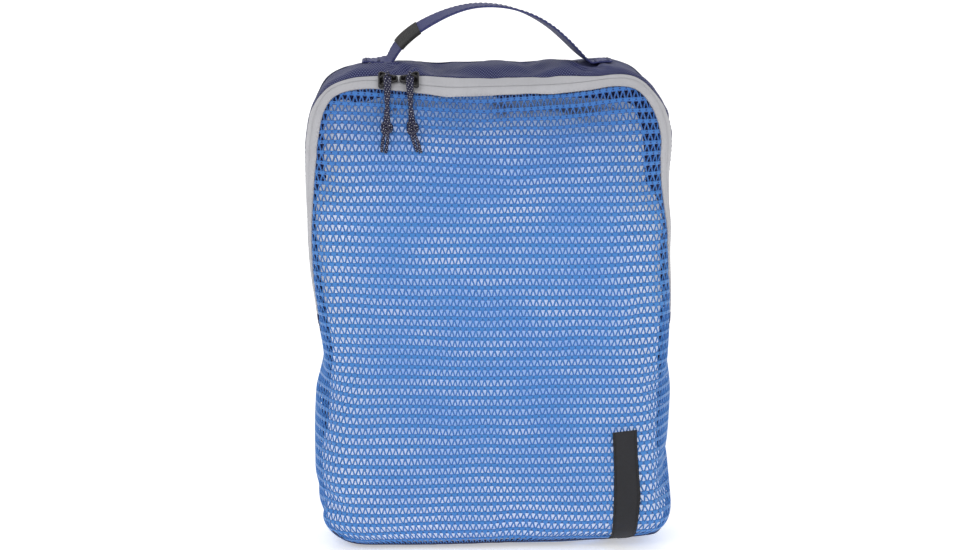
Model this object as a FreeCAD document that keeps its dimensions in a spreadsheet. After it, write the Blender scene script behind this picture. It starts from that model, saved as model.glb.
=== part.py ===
import FreeCAD, Part
import math
import os
import Sketcher
from FreeCAD import Placement, Rotation, Vector

# A soft packing cube that stands on its base. X is the width, the mesh front faces -Y, Z is up.
# The origin is on the base plane, at the middle of the width and of the depth. Millimetres.
doc = FreeCAD.newDocument("PackingCube")

# ---------------------------------------------------------------- driving dimensions
SHEET = [
    ("width", 262.0),  # across the two side walls
    ("height", 344.0),  # base to top panel
    ("depth", 76.0),  # front net to back panel
    ("corner_top", 57.0),  # large rounding of the two top corners, seen from the front
    ("corner_base", 25.0),  # rounding of the two base corners
    ("round_front", 20.0),  # soft shoulder between the front and the walls
    ("round_back", 4.0),  # tight edge at the back seam
    ("cloth", 1.6),  # wall of net and fabric panels
    ("tape_thick", 0.9),  # zip tape
    ("rise_small", 0.8),  # how far coil, binding and labels stand proud
    ("rise_tab", 2.0),  # doubled webbing of a handle tab
    ("rise_tack", 2.5),  # top of a bar tack on the tab
    ("tape_front", 3.04),  # front edge of the zip tape, from the front plane
    ("zip_line", 7.55),  # meeting line of the two coils, from the front plane
    ("tape_back", 13.5),  # back edge of the zip tape, from the front plane
    ("lean_front", 0.12),  # backward lean of the tape front edge down the sides
    ("lean_mid", 0.13),  # backward lean of the zip line down the sides
    ("lean_back", 0.14),  # backward lean of the tape back edge down the sides
    ("fold_height", 168.0),  # fold line where the zip ends and the flap hinges
    ("split", 0.2),  # half of the gap on the fold line
    ("zip_gap", 0.5),  # half of the gap between the two zip halves
    ("coil_reach", 2.4),  # outer edge of a coil from the zip line
    ("seam_back", 7.0),  # side seam of the back binding, from the back plane
    ("edge_back", 4.0),  # back edge of the back binding, from the back plane
    ("base_seam", 6.0),  # height of the seam round the base panel
    ("base_edge", 12.0),  # front edge of the base panel, from the front plane
    ("base_trim", 8.5),  # front edge of the base binding, from the front plane
    ("webbing", 20.0),  # handle webbing width
    ("webbing_thick", 1.5),  # handle webbing thickness
    ("handle_back", 12.0),  # middle of the handle behind the mid plane
    ("handle_pivot", 354.3),  # height of the line the handle flops about
    ("slider_left", -74.0),  # left slider, middle, across the width
    ("slider_right", -58.5),  # right slider, middle
    ("cord_thick", 0.9),  # radius of the pull cord
    ("label_left", 88.0),  # side label, near edge
    ("label_wide", 17.0),  # side label, across the width
    ("label_top", 81.0),  # top of the side label
    ("label_fold", 14.0),  # height where the label starts to lift off
    ("shift_back", 200.0),  # keeps the side-view coordinates positive
    ("shift_up", 100.0),
]


def number(size):
    """The plain number of a size, which may be a Term."""
    return size.value if isinstance(size, Term) else size


def written(size):
    """A size as it stands in an expression."""
    if isinstance(size, Term):
        return size.text
    return repr(size) if size >= 0 else "(0 - %r)" % -size


class Term:
    """A size as a number, together with the sheet expression that drives it."""

    def __init__(self, value, text):
        self.value = value
        self.text = text

    def __neg__(self):
        return Term(-self.value, "(0 - %s)" % self.text)

    def __add__(self, other):
        return Term(self.value + number(other), "(%s + %s)" % (self.text, written(other)))

    def __sub__(self, other):
        return Term(self.value - number(other), "(%s - %s)" % (self.text, written(other)))

    def __mul__(self, other):
        return Term(self.value * number(other), "(%s * %s)" % (self.text, written(other)))

    def __truediv__(self, other):
        return Term(self.value / number(other), "(%s / %s)" % (self.text, written(other)))

    __radd__ = __add__
    __rmul__ = __mul__


class Dimensions:
    """Holds one Term for each alias of the sheet."""


sheet = doc.addObject("Spreadsheet::Sheet", "Dims")
dim = Dimensions()
for row, (alias, value) in enumerate(SHEET, start=1):
    sheet.set("A%d" % row, alias)
    sheet.set("B%d" % row, str(value))
    sheet.setAlias("B%d" % row, alias)
    setattr(dim, alias, Term(value, "Dims." + alias))
doc.recompute()

FRONT = -dim.depth / 2
PARTS = []  # the objects to export


# ---------------------------------------------------------------- helpers
def drive(obj, name, size):
    """Sets a property, and binds it to the sheet when its size is a Term."""
    setattr(obj, name, number(size))
    if isinstance(size, Term):
        obj.setExpression(name, size.text)


def place(obj, point, rotation=Rotation()):
    """Puts an object at a point whose coordinates may be Terms."""
    obj.Placement = Placement(Vector(*map(number, point)), rotation)
    for axis, size in zip("xyz", point):
        if isinstance(size, Term):
            obj.setExpression("Placement.Base." + axis, size.text)


def new_body(name):
    return doc.addObject("PartDesign::Body", name)


def new_sketch(body, plane, name, lift=0, shift=(0, 0)):
    """Sketch on an origin plane, lifted along its normal and shifted within it."""
    sketch = doc.addObject("Sketcher::SketchObject", name)
    body.addObject(sketch)
    support = next(item for item in body.Origin.OriginFeatures if item.Role == plane)
    sketch.AttachmentSupport = [(support, "")]
    sketch.MapMode = "FlatFace"
    sketch.AttachmentOffset = Placement(Vector(*shift, number(lift)), Rotation())
    if isinstance(lift, Term):
        sketch.setExpression("AttachmentOffset.Base.z", lift.text)
    return sketch


def hold(sketch, name, size, kind, *where):
    """Named sizing constraint, bound to the sheet when its size is a Term."""
    # a whole number would be read as one more geometry index
    index = sketch.addConstraint(Sketcher.Constraint(kind, *where, float(number(size))))
    sketch.renameConstraint(index, name)
    if isinstance(size, Term):
        sketch.setExpression("Constraints." + name, size.text)


def add_lines(sketch, points):
    """Open chain of straight lines."""
    for start, end in zip(points, points[1:]):
        sketch.addGeometry(Part.LineSegment(Vector(*start, 0), Vector(*end, 0)), False)


def add_arc(sketch, centre, radius, start, end):
    circle = Part.Circle(Vector(*centre, 0), Vector(0, 0, 1), radius)
    sketch.addGeometry(Part.ArcOfCircle(circle, start, end), False)


def join_ends(sketch, count, kind):
    """Joins the end of each geometry to the start of the next, all the way round."""
    for i in range(count):
        sketch.addConstraint(Sketcher.Constraint(kind, i, 2, (i + 1) % count, 1))


def polygon(sketch, points):
    """Closed outline; each corner is held by its distance from the sketch origin."""
    start = [(number(x), number(y)) for x, y in points]
    add_lines(sketch, start + start[:1])
    join_ends(sketch, len(points), "Coincident")
    for i, (x, y) in enumerate(points):
        hold(sketch, "px%d" % i, x, "DistanceX", -1, 1, i, 1)
        hold(sketch, "py%d" % i, y, "DistanceY", -1, 1, i, 1)


def extrude(body, sketch, name, length, kind="Pad", midplane=False, reverse=False):
    feature = doc.addObject("PartDesign::" + kind, name)
    body.addObject(feature)
    feature.Profile = sketch
    drive(feature, "Length", length)
    if midplane:
        feature.SideType = "Symmetric"
    feature.Reversed = reverse
    return feature


def edges_at(shape, y):
    """Names of the edges that lie in the plane at y."""
    return [
        "Edge%d" % i
        for i, edge in enumerate(shape.Edges, start=1)
        if all(abs(vertex.Point.y - y) < 1e-4 for vertex in edge.Vertexes)
        and abs(edge.CenterOfMass.y - y) < 1e-4
    ]


def fillet(body, base, y, name, radius):
    """Rounds the edges of a feature that lie in the plane at y."""
    doc.recompute()
    feature = doc.addObject("PartDesign::Fillet", name)
    body.addObject(feature)
    feature.Base = (base, edges_at(base.Shape, y))
    drive(feature, "Radius", radius)
    return feature


def cut(name, base, tool):
    obj = doc.addObject("Part::Cut", name)
    obj.Base = base
    obj.Tool = tool
    return obj


def fuse(name, shapes):
    obj = doc.addObject("Part::MultiFuse", name)
    obj.Shapes = shapes
    return obj


def common(label, *tools):
    """A finished part: what all the tools share."""
    obj = doc.addObject("Part::MultiCommon", label)
    obj.Shapes = list(tools)
    PARTS.append(obj)


def box(name, low, high):
    """Block between two opposite corners."""
    obj = doc.addObject("Part::Box", name)
    for side, start, end in zip(("Length", "Width", "Height"), low, high):
        drive(obj, side, end - start)
    place(obj, low)
    return obj


# ---------------------------------------------------------------- the outer form at several offsets
SIDES = [(0, -1), (1, 0), (0, 1), (-1, 0)]  # outward direction of base, right, top and left


def form(name, grow):
    """Rounded block of the whole cube, grown all round by one size."""
    half_width = dim.width / 2 + grow
    radius_top = dim.corner_top + grow
    radius_base = dim.corner_base + grow
    right, top, low = half_width.value, (dim.height + grow).value, -number(grow)
    by_top, by_base = radius_top.value, radius_base.value
    corners = [  # centre x, centre y, radius
        (right - by_base, low + by_base, by_base),
        (right - by_top, top - by_top, by_top),
        (-right + by_top, top - by_top, by_top),
        (-right + by_base, low + by_base, by_base),
    ]

    body = new_body(name)
    # the normal of the XZ plane runs towards -Y, so the lift leads to the front
    sketch = new_sketch(body, "XZ_Plane", name + "_outline", dim.depth / 2 + grow)
    # lines are 0 base, 2 right, 4 top, 6 left; the arc after each has the odd number
    for i, (x, y, radius) in enumerate(corners):
        last_x, last_y, last_radius = corners[i - 1]
        out_x, out_y = SIDES[i]
        start = (last_x + last_radius * out_x, last_y + last_radius * out_y)
        add_lines(sketch, [start, (x + radius * out_x, y + radius * out_y)])
        add_arc(sketch, (x, y), radius, (i - 1) * math.pi / 2, i * math.pi / 2)
    join_ends(sketch, 8, "Tangent")
    for kind, line in (("Horizontal", 0), ("Horizontal", 4), ("Vertical", 2), ("Vertical", 6)):
        sketch.addConstraint(Sketcher.Constraint(kind, line))
    hold(sketch, "r_base_right", radius_base, "Radius", 1)
    hold(sketch, "r_base_left", radius_base, "Radius", 7)
    hold(sketch, "r_top_right", radius_top, "Radius", 3)
    hold(sketch, "r_top_left", radius_top, "Radius", 5)
    hold(sketch, "half_right", half_width, "DistanceX", -1, 1, 2, 1)
    hold(sketch, "half_left", half_width, "DistanceX", 6, 1, -1, 1)
    hold(sketch, "tall", dim.height + grow, "DistanceY", -1, 1, 4, 1)
    hold(sketch, "full", dim.height + 2 * grow, "DistanceY", 0, 1, 4, 1)

    block = extrude(body, sketch, name + "_block", dim.depth + 2 * grow, reverse=True)
    front = (FRONT - grow).value
    soft = fillet(body, block, front, name + "_shoulder", dim.round_front + grow)
    fillet(body, soft, -front, name + "_back_edge", dim.round_back + grow)
    return body


form_outer = form("form_outer", 0)
form_inner = form("form_inner", -dim.cloth)
form_tape = form("form_tape", -dim.tape_thick)
form_proud = form("form_proud", dim.rise_small)
form_tab = form("form_tab", dim.rise_tab)
form_tack = form("form_tack", dim.rise_tack)

# shells go inwards from the outer form, skins lie on top of it
shell = cut("shell_cloth", form_outer, form_inner)
shell_tape = cut("shell_tape", form_outer, form_tape)
skin_proud = cut("skin_proud", form_proud, form_outer)
shell_bound = cut("shell_bound", form_proud, form_inner)
skin_tab = cut("skin_tab", form_tab, form_outer)
skin_tack = cut("skin_tack", form_tack, form_tab)

# ---------------------------------------------------------------- side-view regions
# Corners are (distance behind the front plane, height above the base).
BEYOND = 30  # how far a region runs past the form
ABOVE = dim.height + 40  # top of the regions that run over the top panel
BEND = dim.height - dim.corner_top  # where the zip lines start to lean
SEAM = dim.depth - dim.seam_back
BINDING_EDGE = dim.depth - dim.edge_back
REGION_HALF = 160  # reach of a region to each side


def region(name, corners):
    """Prism across the whole width with a side-view outline."""
    body = new_body(name)
    shift = (-dim.shift_back.value, -dim.shift_up.value)
    sketch = new_sketch(body, "YZ_Plane", name + "_outline", -REGION_HALF, shift)
    front = dim.shift_back - dim.depth / 2
    polygon(sketch, [(front + y, dim.shift_up + z) for y, z in corners])
    extrude(body, sketch, name + "_prism", 2 * REGION_HALF)
    return body


def fold_at(y, lift):
    """Height of the sloping fold plane, with a lift for its upper or lower side."""
    return dim.fold_height + lift + dim.lean_mid * y


def on_fold(line, lean, lift):
    """Corner where a leaning line meets the fold plane."""
    y = (line + lean * (BEND - dim.fold_height - lift)) / (1 + dim.lean_mid * lean)
    return y, fold_at(y, lift)


def band(name, front_line, front_lean, back_line, back_lean):
    """Strip between two zip lines, over the top and down both sides to the fold plane."""
    return region(
        name,
        [
            on_fold(front_line, front_lean, dim.split),
            on_fold(back_line, back_lean, dim.split),
            (back_line, BEND),
            (back_line, ABOVE),
            (front_line, ABOVE),
            (front_line, BEND),
        ],
    )


# ---------------------------------------------------------------- cloth panels
def panels():
    """Back, gusset, base, and the lower and flap halves of the net front."""
    back = [
        (BINDING_EDGE, -BEYOND),
        (dim.depth + BEYOND, -BEYOND),
        (dim.depth + BEYOND, ABOVE),
        (BINDING_EDGE, ABOVE),
    ]
    gusset = [
        on_fold(dim.tape_back, dim.lean_back, dim.split),
        (SEAM, fold_at(SEAM, dim.split)),
        (SEAM, ABOVE),
        (dim.tape_back, ABOVE),
        (dim.tape_back, BEND),
    ]
    base = [
        (dim.base_edge, -BEYOND),
        (SEAM, -BEYOND),
        (SEAM, dim.base_seam),
        (dim.base_edge, dim.base_seam),
    ]
    net_lower = [
        (-BEYOND, -BEYOND),
        (dim.base_trim, -BEYOND),
        (dim.base_trim, dim.base_seam),
        (SEAM, dim.base_seam),
        (SEAM, fold_at(SEAM, -dim.split)),
        (-BEYOND, fold_at(-BEYOND, -dim.split)),
    ]
    net_flap = [
        (-BEYOND, fold_at(-BEYOND, dim.split)),
        on_fold(dim.tape_front, dim.lean_front, dim.split),
        (dim.tape_front, BEND),
        (dim.tape_front, ABOVE),
        (-BEYOND, ABOVE),
    ]
    common("back_panel", shell, region("reg_back_panel", back))
    common("top_side_gusset", shell, region("reg_gusset", gusset))
    common("base_panel", shell, region("reg_base_panel", base))
    common("net_front_lower", shell, region("reg_net_lower", net_lower))
    common("net_front_flap", shell, region("reg_flap_net", net_flap))


def bindings():
    """Binding round the back seam, and the one along the front of the base."""
    back = [(SEAM, 0), (BINDING_EDGE, 0), (BINDING_EDGE, ABOVE), (SEAM, ABOVE)]
    base = [
        (dim.base_trim, 0),
        (dim.base_edge, 0),
        (dim.base_edge, dim.base_seam),
        (dim.base_trim, dim.base_seam),
    ]
    common("back_binding", shell_bound, region("reg_back_binding", back))
    common("base_binding", shell_bound, region("reg_base_binding", base))


panels()
bindings()


# ---------------------------------------------------------------- zip
def zip_halves():
    """Tape and coil on each side of the zip line; the flap half lies in front."""
    mid = dim.lean_mid
    flap_edge = dim.zip_line - dim.zip_gap
    body_edge = dim.zip_line + dim.zip_gap
    tape_flap = band("reg_tape_flap", dim.tape_front, dim.lean_front, flap_edge, mid)
    tape_body = band("reg_tape_body", body_edge, mid, dim.tape_back, dim.lean_back)
    coil_flap = band("reg_coil_flap", dim.zip_line - dim.coil_reach, mid, flap_edge, mid)
    coil_body = band("reg_coil_body", body_edge, mid, dim.zip_line + dim.coil_reach, mid)
    common("zip_tape_body", shell_tape, tape_body)
    common("zip_tape_flap", shell_tape, tape_flap)
    common("zip_coil_body", skin_proud, coil_body)
    common("zip_coil_flap", skin_proud, coil_flap)


def zip_end_tabs():
    """Strip that caps each end of the zip, just under the fold plane."""
    overlap, tall = 2, 9
    front_y, front_z = on_fold(dim.tape_front - overlap, dim.lean_front, -dim.split)
    back_y, back_z = on_fold(dim.tape_back + overlap, dim.lean_back, -dim.split)
    strip = region(
        "reg_end_tab",
        [
            (front_y, front_z - tall),
            (back_y, back_z - tall),
            (back_y, back_z),
            (front_y, front_z),
        ],
    )
    half_left = box("half_left", (-REGION_HALF, -80, -20), (0, 80, 420))
    half_right = box("half_right", (0, -80, -20), (REGION_HALF, 80, 420))
    common("zip_end_tab_left", skin_proud, strip, half_left)
    common("zip_end_tab_right", skin_proud, strip, half_right)


zip_halves()
zip_end_tabs()


# ---------------------------------------------------------------- label at the right of the base
def side_label():
    """Label in two pieces, one below and one above its fold."""
    gap = 0.2  # kept clear of the base, the binding and the fold
    left, right = dim.label_left, dim.label_left + dim.label_wide
    root = box(
        "label_zone_low",
        (left, FRONT - 10, gap),
        (right, FRONT + dim.base_trim - gap, dim.label_fold - gap),
    )
    upper = box(
        "label_zone_high",
        (left, FRONT - 10, dim.label_fold + gap),
        (right, FRONT + 4, dim.label_top),
    )
    common("side_label_root", skin_proud, root)
    common("side_label", skin_proud, upper)


side_label()

# ---------------------------------------------------------------- handle
# middle of the webbing seen from the front, left to right: x, z
HANDLE_LINE = [
    (-67.6, 344.3), (-68.9, 352.0), (-66.6, 360.0), (-60.2, 367.5), (-50.0, 374.6),
    (-35.5, 381.2), (-12.0, 385.9), (6.0, 385.2), (23.5, 381.0), (37.5, 374.4),
    (48.0, 367.2), (56.0, 359.6), (62.6, 351.6), (66.4, 344.3),
]
HALF_THICK = dim.webbing_thick.value / 2
HANDLE_FRONT = dim.handle_back - dim.webbing / 2
HANDLE_REAR = dim.handle_back + dim.webbing / 2
SEWN_LOW, SEWN_HIGH = 320, 360  # heights that enclose the top panel under the handle

handle_curve = Part.BSplineCurve()
handle_curve.interpolate([Vector(x, z, 0) for x, z in HANDLE_LINE])


def offset_run(start, end, distance, count=40):
    """Points beside the handle line, between two of its parameters."""
    points = []
    for i in range(count + 1):
        parameter = start + (end - start) * i / count
        point = handle_curve.value(parameter)
        along = handle_curve.tangent(parameter)[0]
        points.append(Vector(point.x - along.y * distance, point.y + along.x * distance, 0))
    return points


def ribbon(body, name, start_share, end_share, half):
    """Sketch of a band along the handle line, between two shares of its length."""
    sketch = new_sketch(body, "XZ_Plane", name, -dim.handle_back)
    first = handle_curve.FirstParameter
    span = handle_curve.LastParameter - first
    start, end = first + start_share * span, first + end_share * span
    outer = offset_run(start, end, half)
    inner = offset_run(start, end, -half)
    outer_curve, inner_curve = Part.BSplineCurve(), Part.BSplineCurve()
    outer_curve.interpolate(outer)
    inner_curve.interpolate(inner)
    sketch.addGeometry(outer_curve, False)
    sketch.addGeometry(Part.LineSegment(outer[-1], inner[-1]), False)
    sketch.addGeometry(inner_curve, False)
    sketch.addGeometry(Part.LineSegment(inner[0], outer[0]), False)
    return sketch


def strap_ends():
    """Prism that rounds each end of the webbing about the pivot, so it clears the top."""
    top, half_length = 420.0, 120
    front, rear, pivot = HANDLE_FRONT.value, HANDLE_REAR.value, dim.handle_pivot.value
    body = new_body("strap_round_end")
    sketch = new_sketch(body, "YZ_Plane", "round_end_outline", -half_length)
    add_lines(sketch, [(rear, pivot), (rear, top), (front, top), (front, pivot)])
    centre = (dim.handle_back.value, pivot)
    add_arc(sketch, centre, dim.webbing.value / 2, math.pi, 2 * math.pi)
    join_ends(sketch, 4, "Coincident")
    for line, kind in enumerate(("Vertical", "Horizontal", "Vertical")):
        sketch.addConstraint(Sketcher.Constraint(kind, line))
    hold(sketch, "round_r", dim.webbing / 2, "Radius", 3)
    hold(sketch, "round_y", dim.handle_back, "DistanceX", -1, 1, 3, 3)
    hold(sketch, "round_z", dim.handle_pivot, "DistanceY", -1, 1, 3, 3)
    hold(sketch, "round_end", dim.handle_pivot, "DistanceY", -1, 1, 3, 2)
    hold(sketch, "round_top", top, "DistanceY", -1, 1, 1, 1)
    extrude(body, sketch, "round_end_prism", 2 * half_length)
    return body


def handle_strap():
    """The webbing of the handle."""
    body = new_body("strap_form")
    sketch = ribbon(body, "strap_outline", 0, 1, HALF_THICK)
    extrude(body, sketch, "strap_width", dim.webbing, midplane=True)
    common("handle_strap", body, strap_ends())


def size_tag():
    """Folded tag wrapped round the left limb of the webbing."""
    body = new_body("size_tag")
    sketch = ribbon(body, "tag_outline", 0.115, 0.215, HALF_THICK + 0.55)
    extrude(body, sketch, "tag_width", dim.webbing + 1.4, midplane=True)
    # slot for the webbing, with a little play
    sketch = ribbon(body, "tag_slot_outline", 0.09, 0.24, HALF_THICK + 0.05)
    extrude(body, sketch, "tag_slot", dim.webbing + 0.2, kind="Pocket", midplane=True)
    PARTS.append(body)


def handle_tabs():
    """Sewn ends of the webbing on the top panel."""
    for side, left, right in (("left", -93.0, -70.2), ("right", 67.7, 90.5)):
        low, high = (left, HANDLE_FRONT, SEWN_LOW), (right, HANDLE_REAR, SEWN_HIGH)
        common("handle_tab_" + side, skin_tab, box("tab_zone_" + side, low, high))


def bar_tacks():
    """Two bar tacks across each sewn end."""
    half, inset = 0.9, 1.0
    boxes = []
    for i, x in enumerate((-90.6, -73.4, 71.8, 87.0)):
        low = (x - half, HANDLE_FRONT + inset, SEWN_LOW)
        high = (x + half, HANDLE_REAR - inset, SEWN_HIGH)
        boxes.append(box("tack_box_%d" % i, low, high))
    common("bar_tacks", skin_tack, fuse("tack_zone", boxes))


handle_strap()
size_tag()
handle_tabs()
bar_tacks()

# ---------------------------------------------------------------- zip sliders
# the slider stands on the rounded shoulder, square to it on the zip line
SHOULDER = dim.round_front.value
REACH = SHOULDER - dim.zip_line.value  # from the zip line back to the shoulder's centre
LEAN = math.asin(REACH / SHOULDER)
SLIDE_Y = FRONT + dim.zip_line
SLIDE_Z = dim.height.value - SHOULDER + math.sqrt(SHOULDER**2 - REACH**2)
BAR = 5.45  # height of the bridge bar above the shoulder
BAR_HALF = 0.6

# top plate, broad at one end: x, y
TOP_PLATE = [
    (-6.0, -4.5), (-5.2, -5.4), (-3.6, -5.4), (2.2, -2.5), (6.0, -2.0),
    (6.0, 2.0), (2.2, 2.5), (-3.6, 5.4), (-5.2, 5.4), (-6.0, 4.5),
]
LOW_PLATE = [(-5.2, -4.4), (5.2, -4.4), (5.2, -1.0), (-5.2, -1.0)]  # x, y
# bridge along the track, with room for the cord under the bar: x, z
BRIDGE = [
    (-4.9, 2.3), (-3.9, BAR + BAR_HALF), (3.9, BAR + BAR_HALF), (4.9, 2.3),
    (3.5, 2.3), (3.1, BAR - BAR_HALF), (-3.1, BAR - BAR_HALF), (-3.5, 2.3),
]


def neck_outline():
    """Side view of the neck, slanted so that it is upright once the slider is tilted: y, z."""
    low, high, half = -2.4, 1.6, 0.3
    corners = ((-half, low), (half, low), (half, high), (-half, high))
    return [((z * math.sin(LEAN) + side) / math.cos(LEAN), z) for side, z in corners]


def slider(label, across, facing):
    """Two plates joined by a thin neck between the coils; facing -1 turns the top plate."""
    body = new_body(label)
    sketch = new_sketch(body, "XY_Plane", label + "_top_outline", 1.2)
    polygon(sketch, [(x * facing, y) for x, y in TOP_PLATE])
    extrude(body, sketch, label + "_top_plate", 1.4)
    sketch = new_sketch(body, "XY_Plane", label + "_low_outline", -3.0)
    polygon(sketch, LOW_PLATE)
    extrude(body, sketch, label + "_low_plate", 1.0)
    sketch = new_sketch(body, "YZ_Plane", label + "_neck_outline")
    polygon(sketch, neck_outline())
    extrude(body, sketch, label + "_neck", 5.0, midplane=True)
    sketch = new_sketch(body, "XZ_Plane", label + "_bridge_outline")
    polygon(sketch, BRIDGE)
    extrude(body, sketch, label + "_bridge", 1.2, midplane=True)
    tilt = Rotation(Vector(1, 0, 0), math.degrees(LEAN))
    place(body, (across, SLIDE_Y, SLIDE_Z), tilt)
    PARTS.append(body)


slider("slider_left", dim.slider_left, 1)
slider("slider_right", dim.slider_right, -1)

# ---------------------------------------------------------------- pull cords
BAR_Y = SLIDE_Y.value - BAR * math.sin(LEAN)
BAR_Z = SLIDE_Z + BAR * math.cos(LEAN)
RING_RADIUS = 1.87  # middle of the cord round the bar
KNOT_Y, KNOT_Z = FRONT.value - 5.3, 305.5
KNOT_RADII = (3.7, 3.5, 5.0)  # along x, y, z


def tube(name, start, end):
    """Straight run of cord."""
    obj = doc.addObject("Part::Cylinder", name)
    drive(obj, "Radius", dim.cord_thick)
    along = Vector(*map(number, end)) - Vector(*map(number, start))
    obj.Height = along.Length
    place(obj, start, Rotation(Vector(0, 0, 1), along))
    return obj


def cord_ring(name, across):
    """Loop of cord round the bar of the bridge."""
    obj = doc.addObject("Part::Torus", name)
    obj.Radius1 = RING_RADIUS
    drive(obj, "Radius2", dim.cord_thick)
    place(obj, (across, BAR_Y, BAR_Z), Rotation(Vector(0, 1, 0), 90))
    return obj


def cord_knot(name, across):
    obj = doc.addObject("Part::Ellipsoid", name)
    # Radius1 is along Z, Radius2 along X, Radius3 along Y
    obj.Radius2, obj.Radius3, obj.Radius1 = KNOT_RADII
    place(obj, (across, KNOT_Y, KNOT_Z))
    return obj


def cord(label, across, tails):
    """Doubled cord on the slider's bridge, knotted; tails are (x offset, drop) of each end."""
    pieces = [cord_ring(label + "_ring", across)]
    for letter, offset in (("a", -0.75), ("b", 0.75)):
        x = across + offset
        start, end = (x, BAR_Y - 1.9, BAR_Z - 0.35), (x, KNOT_Y + 0.4, KNOT_Z + 2)
        pieces.append(tube("%s_strand_%s" % (label, letter), start, end))
    pieces.append(cord_knot(label + "_knot", across))
    for i, (offset, drop) in enumerate(tails):
        start = (across + (-1.0, 1.0)[i], KNOT_Y + 0.6, KNOT_Z - 2.5)
        end = (across + offset, KNOT_Y + 1.6, KNOT_Z - drop)
        pieces.append(tube("%s_tail_%d" % (label, i), start, end))
    PARTS.append(fuse(label, pieces))


cord("pull_cord_left", dim.slider_left, [(-4.4, 17.6), (-1.1, 18.4)])
cord("pull_cord_right", dim.slider_right, [(3.6, 17.6), (7.2, 18.4)])

doc.recompute()


# ---------------------------------------------------------------- checks and files
def find_faults():
    faults = []
    for obj in doc.Objects:
        if "Invalid" in obj.State or "Error" in obj.State:
            faults.append("%s is in state %s" % (obj.Name, obj.State))
        if obj.isDerivedFrom("Part::Feature"):
            if obj.Shape.isNull():
                faults.append("%s has no shape" % obj.Name)
            elif not obj.Shape.isValid():
                faults.append("%s has a bad shape" % obj.Name)
    for obj in PARTS:
        if not obj.Shape.Solids:
            faults.append("%s holds no solid" % obj.Label)
    return faults


faults = find_faults()
if faults:
    raise SystemExit("\n".join(faults))

os.makedirs("parts", exist_ok=True)
for part in PARTS:
    shape = part.Shape
    if len(shape.Solids) == 1:
        shape = shape.Solids[0]
    shape.exportStep("parts/%s.step" % part.Label)
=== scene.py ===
"""A filled fabric packing cube that stands upright on its base.

Seen from the front, x runs to the right and z up. The net front faces -y and the back
panel +y. A zip runs over the top and down both sides, and a webbing handle arches over
the top. The numbers are in millimetres; meshes are scaled to metres as they are made.

Pieces are laid on the relaxed body form through two sheets of coordinates:
EDGE: along = arc length round the outline from the middle of the base (anticlockwise
      seen from the front), across = arc length from the front plane towards the back.
FACE: side = distance across the front and round both sides, up = distance up the front.
"""
import math
import bpy
import numpy as np
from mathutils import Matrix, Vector
from mathutils.bvhtree import BVHTree
from mathutils.geometry import delaunay_2d_cdt


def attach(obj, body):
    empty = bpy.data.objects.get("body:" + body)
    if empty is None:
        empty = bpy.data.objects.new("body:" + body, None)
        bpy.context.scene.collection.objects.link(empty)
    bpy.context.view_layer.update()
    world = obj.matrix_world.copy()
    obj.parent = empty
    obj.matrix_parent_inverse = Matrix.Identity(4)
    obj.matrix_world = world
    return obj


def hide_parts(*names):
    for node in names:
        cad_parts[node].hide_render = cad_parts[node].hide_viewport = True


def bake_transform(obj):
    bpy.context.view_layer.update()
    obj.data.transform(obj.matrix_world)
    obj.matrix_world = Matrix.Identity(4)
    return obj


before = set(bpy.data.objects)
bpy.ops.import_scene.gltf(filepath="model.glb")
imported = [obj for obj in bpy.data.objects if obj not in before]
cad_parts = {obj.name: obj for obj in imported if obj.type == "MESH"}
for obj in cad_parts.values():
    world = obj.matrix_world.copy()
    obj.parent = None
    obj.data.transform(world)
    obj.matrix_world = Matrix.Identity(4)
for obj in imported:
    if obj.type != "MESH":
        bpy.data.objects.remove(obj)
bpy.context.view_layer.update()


scene = bpy.context.scene
MM = 0.001

# ------------------------------------------------------------------ driving dimensions
FRONT = -38.0  # y of the front plane
ROUND_FRONT, ROUND_BACK, WALL = 20.0, 4.0, 52.0  # edge radii and the straight wall between
ARC_FRONT = ROUND_FRONT * math.pi / 2
ARC_BACK = ROUND_BACK * math.pi / 2
CORNER_Y = FRONT + ROUND_FRONT
WALL_END = ARC_FRONT + WALL
Z_FOLD, Z_BEND = 168.0, 287.0  # where the flap folds; where the zip line starts to lean back
FOLD_SLOPE = 0.13  # rise of the fold plane towards the back
NET_PITCH, NET_ROW = 4.72, 7.2

# Lines beside the zip: depth behind the front above Z_BEND, and gain per mm below it
TAPE_FRONT_EDGE = (3.04, 0.12)
NET_END = (6.9, 0.13)
TAPE_FRONT_INNER = (7.50, 0.13)
CLOSING = (7.55, 0.13)
TAPE_BACK_INNER = (7.60, 0.13)
TAPE_BACK_EDGE = (13.5, 0.14)

# Outline of the cube seen from the front, (x, z), anticlockwise from the middle of the base
OUTLINE = [
    (0, 1.0), (40, 2.0), (70, 3.0), (92, 4.2), (108, 5.6), (119.4, 8.4), (127.0, 14.2),
    (130.4, 23), (131.2, 34), (129.8, 45), (129.6, 70), (129.7, 100), (129.9, 135),
    (131.2, 158), (132.6, 176), (131.8, 195), (130.9, 213), (131.2, 234), (130.0, 250),
    (129.4, 266), (130.4, 280), (131.8, 293), (131.0, 304), (128.4, 314.5), (123.8, 325.0),
    (117.2, 334.0), (108.6, 340.9), (98.5, 343.8), (86, 344.7), (60, 344.6), (28, 344.4),
    (0, 344.8), (-36, 344.2), (-60, 344.7), (-84, 344.8), (-97.5, 343.8), (-109, 341.0),
    (-119, 336.2), (-126.2, 327), (-130.6, 316), (-132.8, 303.5), (-134.4, 292),
    (-134.2, 280), (-133.5, 262), (-132.8, 235), (-131.6, 212), (-129.8, 192), (-127.6, 175),
    (-124.9, 160), (-122.3, 147), (-121.7, 136), (-122.8, 122), (-124.4, 106), (-125.5, 85),
    (-126.0, 63), (-125.0, 47), (-123.6, 34), (-122.8, 24.0), (-119.6, 16.4), (-113.0, 8.2),
    (-104, 2.4), (-94, 0.5), (-77, 0.2), (-42, 0.0),
]
STATIONS = 560  # points round the resampled outline


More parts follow.
